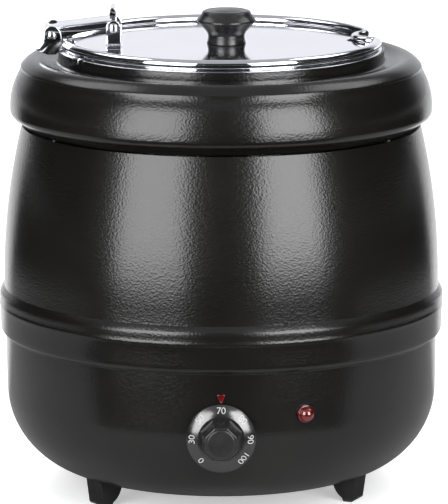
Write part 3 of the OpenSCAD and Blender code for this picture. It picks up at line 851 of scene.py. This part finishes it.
def add_lid_disc(bm, low, thick, edge_r, cut_r):
    """A thin round plate whose top edge is softly rounded."""
    fine = [NOTCH_TURN - 12 + 24 * i / 120 for i in range(121)]
    coarse = [NOTCH_TURN + 12 + 336 * i / 224 for i in range(1, 224)]
    turns = fine + coarse
    shares = [0.05, 0.2, 0.4, 0.6, 0.8, 0.94]
    rows = []
    for turn in turns:
        reach = lid_edge(turn, edge_r, cut_r)
        c, s = math.cos(math.radians(turn)), math.sin(math.radians(turn))
        line = [(reach * u, low + thick) for u in shares]
        line += [(reach - 0.5, low + thick), (reach - 0.15, low + thick - 0.15), (reach, low + thick - 0.5)]
        line += [(reach, low + 0.3), (reach - 0.3, low)] + [(reach * u, low) for u in shares[::-1]]
        rows.append([bm.verts.new((r * c, r * s, z)) for r, z in line])
    for a, b in zip(rows, rows[1:] + rows[:1]):
        for i in range(len(a) - 1):
            bm.faces.new((a[i], b[i], b[i + 1], a[i + 1]))
    bm.faces.new([row[0] for row in rows])
    bm.faces.new([row[-1] for row in rows][::-1])


# An ear of the hinge: half its width, its thickness, and how far its outer face is from the middle
EAR_HALF = 5.5
EAR_T = 1.8
EAR_OUT = 17.7


def stood_up(y):
    """Turns XY into the XZ plane at a distance along Y, with depth towards -Y."""
    return Matrix.Translation((0, y, 0)) @ Matrix.Rotation(math.radians(90), 4, "X")


class KETTLE_OT_lid(bpy.types.Operator):
    """Make the lid's disc with its rib, and its two bent ears"""

    bl_idname = "kettle.lid"
    bl_label = "Lid"

    def execute(self, context):
        top = PLATE[1].z
        low = top - LID_THICK
        bm = bmesh.new()
        add_lid_disc(bm, low, LID_THICK, LID_R, LID_CUT_R)
        inner, outer = 91.0, 99.0
        rib = [(inner, low)] + arc(RIB_MIDDLE, low, RIB_R, 180, 360, 12)
        rib += [(outer, low), (outer, low + 0.1), (inner, low + 0.1)]
        add_lathe(bm, rib)
        hand_over(mesh_object(bm, "lid_disc"), finish("stainless"), "lid", "stainless", "lid_plate")
        x, z = INNER_AXIS
        bm = bmesh.new()
        for side in (-1, 1):
            outline = [(x - EAR_HALF, top + 2.0), (x + EAR_HALF, top + 2.0)]
            outline += arc(x, z, EAR_HALF, 0, 180, 24)
            add_slab(bm, outline, EAR_T, stood_up(side * (EAR_OUT - EAR_T / 2) + EAR_T / 2), 0.35)
            bend = [(5.2, 0), (5.2, 1.2), (1.6, 1.2)] + arc(1.6, 2.8, 1.6, 270, 180, 6)
            bend += [(0, 3.2), (-1.8, 3.2), (-1.8, 1.4)] + arc(-0.4, 1.4, 1.4, 180, 270, 5)
            along = Matrix(((0, 0, 1, 0), (side, 0, 0, 0), (0, 1, 0, 0), (0, 0, 0, 1)))
            spot = Matrix.Translation((x - EAR_HALF, side * EAR_OUT, top))
            add_slab(bm, bend, 2 * EAR_HALF, spot @ along, 0.12)
        half = EAR_OUT - 1
        strap = [(x - EAR_HALF, -half), (x + EAR_HALF, -half), (x + EAR_HALF, half), (x - EAR_HALF, half)]
        add_slab(bm, strap, 1.2, Matrix.Translation((0, 0, top)), 0.25)
        hand_over(mesh_object(bm, "ears"), finish("stainless"), "lid", "stainless", "lid_ears")
        return {"FINISHED"}


class KETTLE_OT_knob(bpy.types.Operator):
    """Turn the lid's waisted knob"""

    bl_idname = "kettle.knob"
    bl_label = "Knob"

    def execute(self, context):
        low, high = KNOB
        base, middle = low.z, (low.x + high.x) / 2
        rim_r = high.x - middle
        waist = [(0, 0), (14.4, 0), (14.9, 0.4), (14.5, 1.6), (13.9, 4.5), (13.9, 6.2), (14.3, 7.6)]
        flare = [(15.2, 9.2), (16.6, 10.9), (18.5, 12.9), (20.3, 14.7), (21.6, 16.2)]
        line = [(r, base + up) for r, up in waist + flare]
        line += arc(rim_r - 1.5, base + 17.6, 1.5, -35, 50, 8)
        line += [(20.6, base + 20.6), (18.8, base + 22.9)] + arc(15.6, base + 21.8, 3.6, 40, 84, 6)
        line += arc(0, high.z - 60, 60, 76, 90, 8)
        line[-1] = (0, high.z)
        bm = bmesh.new()
        add_lathe(bm, line, Matrix.Translation((middle, 0, 0)), segments=128)
        hand_over(mesh_object(bm, "knob"), finish("black_plastic"), "lid", "black_plastic", "lid_knob")
        return {"FINISHED"}


# ---- Hinge ----
# The channel link: how far its top is over the pivots, its width, its sheet and how low its sides hang
LINK_TOP, LINK_WIDE, LINK_SHEET, LINK_DROP = 4.2, 31.0, 1.6, 4.2
# The thumb tab at the link's inner end: its width, its height, half its thickness, and how far its
# middle is past the pivot
THUMB_WIDE, THUMB_TALL, THUMB_HALF, THUMB_PAST = 27, 8.0, 2.5, 0.5


class KETTLE_OT_hinge(bpy.types.Operator):
    """Cut and bend the hinge's bracket and its channel link"""

    bl_idname = "kettle.hinge"
    bl_label = "Hinge"

    def execute(self, context):
        self.bracket()
        self.link()
        return {"FINISHED"}

    def bracket(self):
        x, z = OUTER_AXIS
        outline = arc(x, z, 7, 5, 175, 28)
        outline += [(x - 9.6, z - 3.4), (x - 12, z - 9.2), (x - 11.2, z - 11.4), (x - 3.0, z - 14.8)]
        outline += [(x + 3.2, z - 14.6), (x + 7.8, z - 10.2), (x + 7.8, z - 5.8)]
        bm = bmesh.new()
        for side in (-1, 1):
            add_slab(bm, outline, EAR_T, stood_up(side * (EAR_OUT - EAR_T / 2) + EAR_T / 2), 0.35)
        hand_over(mesh_object(bm, "hinge_ears"), finish("stainless"), "ring", "stainless", "hinge_bracket")

    def link(self):
        run = math.dist(OUTER_AXIS, INNER_AXIS)
        slope = math.atan2(INNER_AXIS[1] - OUTER_AXIS[1], INNER_AXIS[0] - OUTER_AXIS[0])
        x, z = OUTER_AXIS
        tilt = Matrix.Translation((x, 0, z)) @ Matrix.Rotation(-slope, 4, "Y")
        end, seam, half = run + 3, LINK_TOP + 0.4, LINK_WIDE / 2
        bm = bmesh.new()
        side_line = [(-EAR_HALF, seam)] + arc(0, 0, EAR_HALF, 180, 270, 12)
        side_line += [(4.5, -LINK_DROP), (run - 4.5, -LINK_DROP)]
        side_line += arc(run, 0, EAR_HALF, 270, 360, 12) + [(end, seam)]
        for side in (-1, 1):
            place = tilt @ stood_up(side * (half - LINK_SHEET / 2) + LINK_SHEET / 2)
            add_slab(bm, side_line, LINK_SHEET, place, 0.3)
        top = [(-EAR_HALF, -half), (end, -half), (end, half), (-EAR_HALF, half)]
        add_slab(bm, top, LINK_SHEET, tilt @ Matrix.Translation((0, 0, LINK_TOP)), 0.7)
        tab = [(run - 2, seam), (end, seam), (end, LINK_TOP + THUMB_TALL)]
        tab += arc(run + THUMB_PAST, LINK_TOP + THUMB_TALL, THUMB_HALF, 0, 180, 14)
        add_slab(bm, tab, THUMB_WIDE, tilt @ stood_up(THUMB_WIDE / 2), 0.35)
        hand_over(mesh_object(bm, "channel_link"), finish("stainless"), "link", "stainless", "hinge_link")


class KETTLE_OT_rivets(bpy.types.Operator):
    """Set the domed rivets of the hinge, each a pair of heads on its pin"""

    bl_idname = "kettle.rivets"
    bl_label = "Rivets"

    def execute(self, context):
        radius = context.scene.kettle_sizes.rivet
        sets = (("outer_rivets", OUTER_AXIS, "ring", "outer_rivet_pin"),
                ("inner_rivets", INNER_AXIS, "lid", "inner_rivet_pin"))
        for name, (x, z), body, node in sets:
            bm = bmesh.new()
            dome = [(0, -EAR_OUT), (2, -EAR_OUT), (2, 0), (radius, 0), (radius, 0.35)]
            dome += [(radius * 0.86, 0.95), (radius * 0.6, 1.45), (radius * 0.3, 1.68), (0, 1.75)]
            add_lathe(bm, dome, Matrix.Rotation(math.radians(90), 4, "Y"), segments=40)
            place = Matrix.Translation((x * MM, 0, z * MM))
            piece = ring_of(bm, name, 2, EAR_OUT, 0, 90, finish("stainless"), place)
            hand_over(piece, finish("stainless"), body, "stainless", node)
        return {"FINISHED"}


# ---- Dial ----
# Each figure of the dial and where it stands, in degrees clockwise from the top
FIGURES = (("0", -137), ("30", -90), ("50", -46), ("70", 0), ("80", 47), ("90", 90), ("100", 130))
# Thickness of the skirt at its rim, and how far the figures stand out of its face
SKIRT_EDGE = 1.4
FIGURE_RISE = 0.08
GRIP_SIDES = 8


def add_figure(bm, text, height, place):
    """Raised figures, centred, standing on XY."""
    curve = bpy.data.curves.new("figure", "FONT")
    curve.body = text
    curve.size = height * 1.32
    curve.extrude = 0.06
    curve.offset = -0.05
    curve.align_x = "CENTER"
    curve.align_y = "CENTER"
    curve.space_character = 0.92
    holder = bpy.data.objects.new("figure", curve)
    bpy.context.scene.collection.objects.link(holder)
    bpy.context.view_layer.update()
    mesh = bpy.data.meshes.new_from_object(holder.evaluated_get(bpy.context.evaluated_depsgraph_get()))
    mesh.transform(place)
    bm.from_mesh(mesh)
    bpy.data.objects.remove(holder)
    bpy.data.meshes.remove(mesh)


class KETTLE_OT_dial(bpy.types.Operator):
    """Make the dial's conical skirt, its figures and its eight-sided grip"""

    bl_idname = "kettle.dial"
    bl_label = "Dial"

    def execute(self, context):
        sizes = context.scene.kettle_sizes
        back, edge, rise = -SKIRT[1].y, SKIRT_EDGE, SKIRT[1].y - SKIRT[0].y
        inner = sizes.grip_base + 0.6
        bm = bmesh.new()
        outline = [(0, 0), (DIAL_R - 0.3, 0), (DIAL_R, 0.3), (DIAL_R, edge - 0.3), (DIAL_R - 0.3, edge)]
        outline += [(inner + 0.4, rise - 0.1), (inner - 0.2, rise), (0, rise)]
        add_lathe(bm, outline, at_front(DIAL_Z, back), segments=160)
        hand_over(mesh_object(bm, "skirt", 24), finish("dial_skin"), "dial", "black_plastic", "dial_skirt")
        self.figures(sizes, back, edge, rise, inner)
        self.grip(sizes)
        return {"FINISHED"}

    def figures(self, sizes, back, edge, rise, inner):
        lean = math.atan2(rise - edge, DIAL_R - inner)
        middle = (DIAL_R + inner) / 2
        depth = (edge + rise) / 2 + FIGURE_RISE
        bm = bmesh.new()
        for text, degrees in FIGURES:
            stand = at_front(DIAL_Z, back) @ around_z(-degrees)
            place = stand @ Matrix.Translation((0, middle, depth)) @ Matrix.Rotation(-lean, 4, "X")
            add_figure(bm, text, sizes.figure, place)
        hand_over(mesh_object(bm, "figures"), finish("ink"), "dial", "black_plastic")

    def grip(self, sizes):
        start, end = -GRIP[1].y, -GRIP[0].y
        shoulder, cap_r = end - 1.6, sizes.grip_front - 1.8
        part = bmesh.new()
        rings = []
        for radius, depth in ((sizes.grip_base, start), (sizes.grip_front, shoulder)):
            turns = [math.radians(360 / GRIP_SIDES * (k + 0.5)) for k in range(GRIP_SIDES)]
            rings.append([part.verts.new((radius * math.cos(t), radius * math.sin(t), depth)) for t in turns])
        for i in range(GRIP_SIDES):
            j = (i + 1) % GRIP_SIDES
            part.faces.new((rings[0][i], rings[0][j], rings[1][j], rings[1][i]))
        part.faces.new(rings[0][::-1])
        part.faces.new(rings[1])
        bmesh.ops.bevel(part, geom=part.edges[:], offset=0.7, segments=3, profile=0.5, affect="EDGES")
        round_cap = [(0, shoulder - 1), (cap_r, shoulder - 1), (cap_r, shoulder + 0.3)]
        round_cap += arc(cap_r - 1.3, end - 1.3, 1.3, 0, 90, 6) + [(0, end)]
        add_lathe(part, round_cap, segments=96)
        bmesh.ops.transform(part, matrix=at_front(DIAL_Z), verts=part.verts)
        grip = mesh_object(part, "grip", 30)
        hand_over(grip, finish("black_plastic"), "dial", "black_plastic", "dial_grip")


# ---- Lamp and pointer ----
# The lens: its stem, its flange, its dome, and how far each stands from the casing's axis
LENS_STEM, LENS_FLANGE, LENS_DOME = 5, 6.7, 5.8
LENS_BACK, LENS_SEAT, LENS_TOP = 158, 165.5, 173.6
# The pointer: half its width, its half height, its thickness, and the pin that holds it
ARROW_HALF, ARROW_TALL, ARROW_THICK = 3.1, 3.4, 1.8
PIN_R, PIN_BACK, PIN_FRONT = 1.25, 160, 166


class KETTLE_OT_lamp(bpy.types.Operator):
    """Make the red lamp's lens and the red pointer over the dial"""

    bl_idname = "kettle.lamp"
    bl_label = "Lamp and pointer"

    def execute(self, context):
        centre = (LENS[0] + LENS[1]) / 2
        turn = math.degrees(math.atan2(centre.x, -centre.y))
        z = (LENS[0].z + LENS[1].z) / 2
        bm = bmesh.new()
        lens = [(0, LENS_BACK), (LENS_STEM, LENS_BACK), (LENS_STEM, LENS_SEAT)]
        lens += [(LENS_FLANGE - 0.2, LENS_SEAT), (LENS_FLANGE, LENS_SEAT + 0.3)]
        lens += [(LENS_FLANGE, LENS_SEAT + 1.4)]
        lens += [(LENS_FLANGE - 0.3, LENS_SEAT + 2.0), (LENS_DOME + 0.2, LENS_SEAT + 2.1)]
        lens += arc(0, LENS_TOP - LENS_DOME, LENS_DOME, 0, 88, 18) + [(0, LENS_TOP)]
        add_lathe(bm, lens, around_z(turn) @ at_front(z), segments=72)
        hand_over(mesh_object(bm, "lamp_lens"), finish("red_lens"), "housing", "red_lens", "indicator_lens")
        middle = POINTER[1].z - ARROW_TALL
        half, tall = ARROW_HALF, ARROW_TALL
        bm = bmesh.new()
        arrow = [(-half, tall - 0.8), (0.7 - half, tall), (half - 0.7, tall), (half, tall - 0.8)]
        arrow += [(0.7, 0.2 - tall), (-0.7, 0.2 - tall)]
        add_slab(bm, arrow[::-1], ARROW_THICK, at_front(middle, BASE[1].x), 0.45)
        pin = [(0, PIN_BACK), (PIN_R, PIN_BACK), (PIN_R, PIN_FRONT), (0, PIN_FRONT)]
        add_lathe(bm, pin, at_front(middle), segments=24)
        hand_over(mesh_object(bm, "pointer"), finish("red_lens"), "housing", "red_lens", "dial_pointer")
        return {"FINISHED"}


# ---- Gland ----
# The cap: its bore, the thread inside it, its rim and its radius where the ribs stand
CAP_BORE, CAP_THREAD, CAP_RIM, CAP_R = 4.0, 8.1, 6.6, 10.8


class KETTLE_OT_gland(bpy.types.Operator):
    """Make the cord gland's cap with grip ribs round it"""

    bl_idname = "kettle.gland"
    bl_label = "Gland cap"

    def execute(self, context):
        near, far = CAP[0].y, CAP[1].y
        z = (CAP[0].z + CAP[1].z) / 2
        outline = [(CAP_THREAD, near), (CAP_R - 0.4, near), (CAP_R, near + 0.4), (CAP_R, near + 6.4)]
        outline += [(CAP_R - 0.5, near + 7), (CAP_R - 0.8, near + 7.4), (CAP_RIM + 0.6, far - 0.5)]
        outline += [(CAP_RIM, far), (CAP_BORE, far), (CAP_BORE, near + 3.2), (CAP_THREAD, near + 3.2)]
        place = around_z(180) @ at_front(z)
        bm = bmesh.new()
        add_lathe(bm, outline, place, segments=72)
        hand_over(mesh_object(bm, "cap"), finish("black_plastic"), "housing", "black_plastic", "gland_cap")
        count = context.scene.kettle_sizes.cap_ribs
        bm = bmesh.new()
        rib = [(-0.5, -0.8), (0.3, -0.8), (0.65, -0.4), (0.65, 0.4), (0.3, 0.8), (-0.5, 0.8)]
        add_slab(bm, rib, 5.4, Matrix.Translation((0, 0, near + 0.8)), 0.15)
        metric = place.copy()
        metric.translation *= MM
        ribs = ring_of(bm, "cap_ribs", count, CAP_R, 0, 0, finish("black_plastic"), metric)
        hand_over(ribs, finish("black_plastic"), "housing", "black_plastic")
        return {"FINISHED"}


# ---- Feet and underside ----
# Where the rear foot stands round the base, the others' turns from it, and the ring of their screws
FOOT_START = 94.7
FOOT_TURNS = (("front_left", 120), ("front_right", 240), ("rear", 0))
FOOT_RING = 111.0
FOOT_WIDE = 20.0
# Depths of the screw heads: under the bottom plate, and in the feet
PLATE_SCREW_DROP = 1.4
FOOT_SCREW_SEAT = 4.95
PLATE_SCREW_R, FOOT_SCREW_R = 3.6, 4.0


class KETTLE_OT_feet(bpy.types.Operator):
    """Mould the three feet, their tops following the round base"""

    bl_idname = "kettle.feet"
    bl_label = "Feet"

    def execute(self, context):
        low = BASE[0].z
        centre_x, centre_z = BASE[1].x - WALL_BACK - CORNER_R, low + CORNER_R
        outline = [(107.4, 0), (114.6, 0), (115.6, 1.2), (118.3, 19.9)]
        outline += [(x, centre_z - math.sqrt(CORNER_R ** 2 - (x - centre_x) ** 2) - 0.1)
                    for x in (116, 112, 108, 103)]
        outline += [(98.5, low - 0.1)] + arc(115.5, 17, 17, 181, 238, 12)
        for name, turn in FOOT_TURNS:
            bm = bmesh.new()
            add_slab(bm, outline, FOOT_WIDE, around_z(FOOT_START + turn) @ stood_up(FOOT_WIDE / 2), 1.1)
            hand_over(mesh_object(bm, "foot_" + name + "_moulding"), finish("foot_rubber"),
                      "housing", "foot_rubber", "foot_" + name)
        return {"FINISHED"}


class KETTLE_OT_underside(bpy.types.Operator):
    """Set the cross-head screws of the bottom plate and the feet"""

    bl_idname = "kettle.underside"
    bl_label = "Underside screws"

    def execute(self, context):
        down = Matrix.Rotation(math.radians(180), 4, "X")
        ring = math.hypot(FLOOR_SCREWS[1].x - PLATE_SCREW_R, FLOOR_SCREWS[1].y - PLATE_SCREW_R)
        plate_z = BASE[0].z - PLATE_SCREW_DROP
        sets = (("plate_screws", "bottom_plate_screws", 4, ring, plate_z, 45, PLATE_SCREW_R, 2.2, 7),
                ("foot_screw_heads", "foot_screws", 3, FOOT_RING, FOOT_SCREW_SEAT, FOOT_START,
                 FOOT_SCREW_R, 2.4, 20))
        for name, node, count, radius, z, first, head_r, head_h, shank in sets:
            bm = bmesh.new()
            add_cross_head(bm, head_r, head_h, down)
            add_lathe(bm, [(0, -0.3), (2, -0.3), (2, shank - 0.6), (1.4, shank), (0, shank)], segments=24)
            piece = ring_of(bm, name, count, radius, z, first, finish("zinc_steel"))
            hand_over(piece, finish("zinc_steel"), "housing", "zinc_steel", node)
        return {"FINISHED"}


class KETTLE_OT_inner_works(bpy.types.Operator):
    """Give every CAD piece that still shows its finish"""

    bl_idname = "kettle.inner_works"
    bl_label = "Inner works"

    def execute(self, context):
        slots = {part["node"]: part["material_slot"] for part in frame["record"]["subparts"]}
        for node, piece in frame["nodes"].items():
            if piece.hide_render:
                continue
            piece.data.materials.clear()
            piece.data.materials.append(finish(slots[node]))
        return {"FINISHED"}


# ---- Stage, in metres, degrees and watts ----
CAMERA_AWAY = 3.5
CAMERA_RIGHT = 0.0021
CAMERA_UP = 0.8757
CAMERA_DOWN = 11.19
CAMERA_LENS = 332.0
# Strengths of the backdrop, the ceiling, the overhead light and the table's own glow
BACKDROP = 1.0
CEILING = 0.5
OVERHEAD = 2.0
TABLE_GLOW = 0.42
FLOOR_HALF = 9.0
# The card's grey part starts here and ends nearer in front than at the sides, past a narrow angle
CARD_START, CARD_FRONT, CARD_SIDE, CARD_NARROW = 0.06, 0.37, 1.0, 52
CARD_END, CARD_TURN, CARD_STEPS = 7.0, 140, 56
CARD_GREY, CARD_BLACK = 0.33, 0.003
# Two lights over the kettle's sides: how far out, back and up they are, their size and power
TOP_OUT, TOP_BACK, TOP_UP, TOP_SIZE, TOP_POWER = 0.95, 0.3, 1.5, 0.75, 5.0
# The tall soft boxes: name, turn from the front, width, height of the lower edge, power
BOX_AWAY, BOX_TALL = 1.6, 1.38
BOXES = (("box_left", -36.2, 1.04, 0.03, 36), ("box_right", 36.8, 0.93, 0.1, 37))


def add_area(name, place, target, wide, tall, power):
    """A rectangular light that faces a target."""
    lamp = bpy.data.lights.new(name, "AREA")
    lamp.shape = "RECTANGLE"
    lamp.size, lamp.size_y = wide, tall
    lamp.energy = power
    holder = bpy.data.objects.new(name, lamp)
    holder.location = place
    holder.rotation_euler = (Vector(target) - Vector(place)).to_track_quat("-Z", "Y").to_euler()
    bpy.context.scene.collection.objects.link(holder)


class KETTLE_OT_stage(bpy.types.Operator):
    """Set the pale floor, the soft lights and the camera"""

    bl_idname = "kettle.stage"
    bl_label = "Stage"

    def execute(self, context):
        scene = context.scene
        scene.view_settings.view_transform = "Standard"
        self.floor(scene)
        self.surroundings(scene)
        self.lamps(scene)
        lens = bpy.data.cameras.new("Camera")
        lens.lens = CAMERA_LENS
        lens.sensor_width = 36.0
        lens.clip_end = 100.0
        camera = bpy.data.objects.new("Camera", lens)
        camera.location = (CAMERA_RIGHT, -CAMERA_AWAY, CAMERA_UP)
        camera.rotation_euler = (math.radians(90 - CAMERA_DOWN), 0, 0)
        scene.collection.objects.link(camera)
        scene.camera = camera
        return {"FINISHED"}

    def floor(self, scene):
        """A pale light table that is lit from below a little."""
        half = FLOOR_HALF
        mesh = bpy.data.meshes.new("floor")
        mesh.from_pydata([(-half, -half, 0), (half, -half, 0), (half, half, 0), (-half, half, 0)], [],
                         [(0, 1, 2, 3)])
        floor = bpy.data.objects.new("floor", mesh)
        scene.collection.objects.link(floor)
        paint = Paint("PaleFloor", scene.kettle_colours.floor, 0.6, specular=0.2)
        paint.shade(paint.noise(3), 0.005)
        paint.polish(paint.noise(8), 0.03)
        paint.shader.inputs["Emission Color"].default_value = (1, 1, 1, 1)
        paint.shader.inputs["Emission Strength"].default_value = TABLE_GLOW
        mesh.materials.append(paint.material)
        self.black_card(scene)

    def black_card(self, scene):
        """A studio's card, grey near the kettle and black beyond, seen only in reflections."""
        card = bpy.data.meshes.new("black_card")
        points, faces, tones = [], [], []
        for i in range(CARD_STEPS + 1):
            degrees = -CARD_TURN + 2 * CARD_TURN * i / CARD_STEPS
            turn = math.radians(degrees)
            share = max(0.0, min(1.0, (abs(degrees) - CARD_NARROW) / 25))
            edge = CARD_FRONT + (CARD_SIDE - CARD_FRONT) * share * share * (3 - 2 * share)
            for away in (CARD_START, edge, CARD_END):
                points.append((away * math.sin(turn), -away * math.cos(turn), 0.002))
        for i in range(CARD_STEPS):
            for k in (3 * i, 3 * i + 1):
                faces.append((k, k + 1, k + 4, k + 3))
                tones.append(k - 3 * i)
        card.from_pydata(points, [], faces)
        for tone, name in ((CARD_GREY, "GreyCard"), (CARD_BLACK, "BlackCard")):
            paint = Paint(name, (tone, tone, tone), 0.9, specular=0.0)
            paint.shade(paint.noise(4), 0.1)
            paint.polish(paint.noise(6), 0.05)
            card.materials.append(paint.material)
        card.polygons.foreach_set("material_index", tones)
        holder = bpy.data.objects.new("black_card", card)
        holder.visible_camera = False
        holder.visible_diffuse = False
        holder.visible_shadow = False
        scene.collection.objects.link(holder)

    def surroundings(self, scene):
        """A dark studio with a bright backdrop behind the kettle and a pale ceiling."""
        world = bpy.data.worlds.new("Studio")
        scene.world = world
        world.use_nodes = True
        tree = world.node_tree
        place = tree.nodes.new("ShaderNodeTexCoord").outputs["Generated"]
        parts = tree.nodes.new("ShaderNodeSeparateXYZ")
        tree.links.new(place, parts.inputs[0])
        both = tree.nodes.new("ShaderNodeMath")
        both.operation = "MAXIMUM"
        for socket, (axis, *limits) in zip(both.inputs, (("Y", 0.68, 0.9, 0.02, BACKDROP),
                                                         ("Z", 0.45, 0.8, 0.0, CEILING))):
            ramp = tree.nodes.new("ShaderNodeMapRange")
            ramp.interpolation_type = "SMOOTHSTEP"
            for label, value in zip(("From Min", "From Max", "To Min", "To Max"), limits):
                ramp.inputs[label].default_value = value
            tree.links.new(parts.outputs[axis], ramp.inputs["Value"])
            tree.links.new(ramp.outputs[0], socket)
        back = tree.nodes["Background"]
        back.inputs["Color"].default_value = (0.95, 0.96, 1.0, 1)
        tree.links.new(both.outputs[0], back.inputs["Strength"])

    def lamps(self, scene):
        """Two tall soft boxes in front, two lights over the sides, and an overhead light for the table."""
        sun = bpy.data.lights.new("overhead", "SUN")
        sun.energy = OVERHEAD
        sun.angle = math.radians(60)
        holder = bpy.data.objects.new("overhead", sun)
        holder.visible_glossy = False
        scene.collection.objects.link(holder)
        for name, side in (("top_left", -1), ("top_right", 1)):
            add_area(name, (side * TOP_OUT, TOP_BACK, TOP_UP), (0, 0, 0.3), TOP_SIZE, TOP_SIZE, TOP_POWER)
        for name, turn, wide, low, power in BOXES:
            side, front = math.sin(math.radians(turn)), math.cos(math.radians(turn))
            place = (BOX_AWAY * side, -BOX_AWAY * front, BOX_TALL / 2 + low)
            add_area(name, place, (0, 0, place[2]), wide, BOX_TALL, power)


# ---- Panel, registration and run ----
OPERATORS = (
    KETTLE_OT_casing, KETTLE_OT_vessels, KETTLE_OT_lid_ring, KETTLE_OT_lid, KETTLE_OT_knob,
    KETTLE_OT_hinge, KETTLE_OT_rivets, KETTLE_OT_dial, KETTLE_OT_lamp, KETTLE_OT_gland,
    KETTLE_OT_feet, KETTLE_OT_underside, KETTLE_OT_inner_works, KETTLE_OT_stage,
)


class KETTLE_PT_panel(bpy.types.Panel):
    """Sizes, colours and steps of the kettle"""

    bl_idname = "KETTLE_PT_panel"
    bl_label = "Soup kettle"
    bl_space_type = "VIEW_3D"
    bl_region_type = "UI"
    bl_category = "Kettle"

    def draw(self, context):
        for group in (context.scene.kettle_sizes, context.scene.kettle_colours):
            for name in group.__annotations__:
                self.layout.prop(group, name)
        for operator in OPERATORS:
            self.layout.operator(operator.bl_idname)


CLASSES = (KettleSizes, KettleColours, *OPERATORS, KETTLE_PT_panel)


def register():
    for item in CLASSES:
        bpy.utils.register_class(item)
    bpy.types.Scene.kettle_sizes = PointerProperty(type=KettleSizes)
    bpy.types.Scene.kettle_colours = PointerProperty(type=KettleColours)


def unregister():
    del bpy.types.Scene.kettle_colours
    del bpy.types.Scene.kettle_sizes
    for item in reversed(CLASSES):
        bpy.utils.unregister_class(item)


def main():
    register()
    bpy.ops.kettle.casing()
    bpy.ops.kettle.vessels()
    bpy.ops.kettle.lid_ring()
    bpy.ops.kettle.lid()
    bpy.ops.kettle.knob()
    bpy.ops.kettle.hinge()
    bpy.ops.kettle.rivets()
    bpy.ops.kettle.dial()
    bpy.ops.kettle.lamp()
    bpy.ops.kettle.gland()
    bpy.ops.kettle.feet()
    bpy.ops.kettle.underside()
    bpy.ops.kettle.inner_works()
    bpy.ops.kettle.stage()


if __name__ == "__main__":
    main()
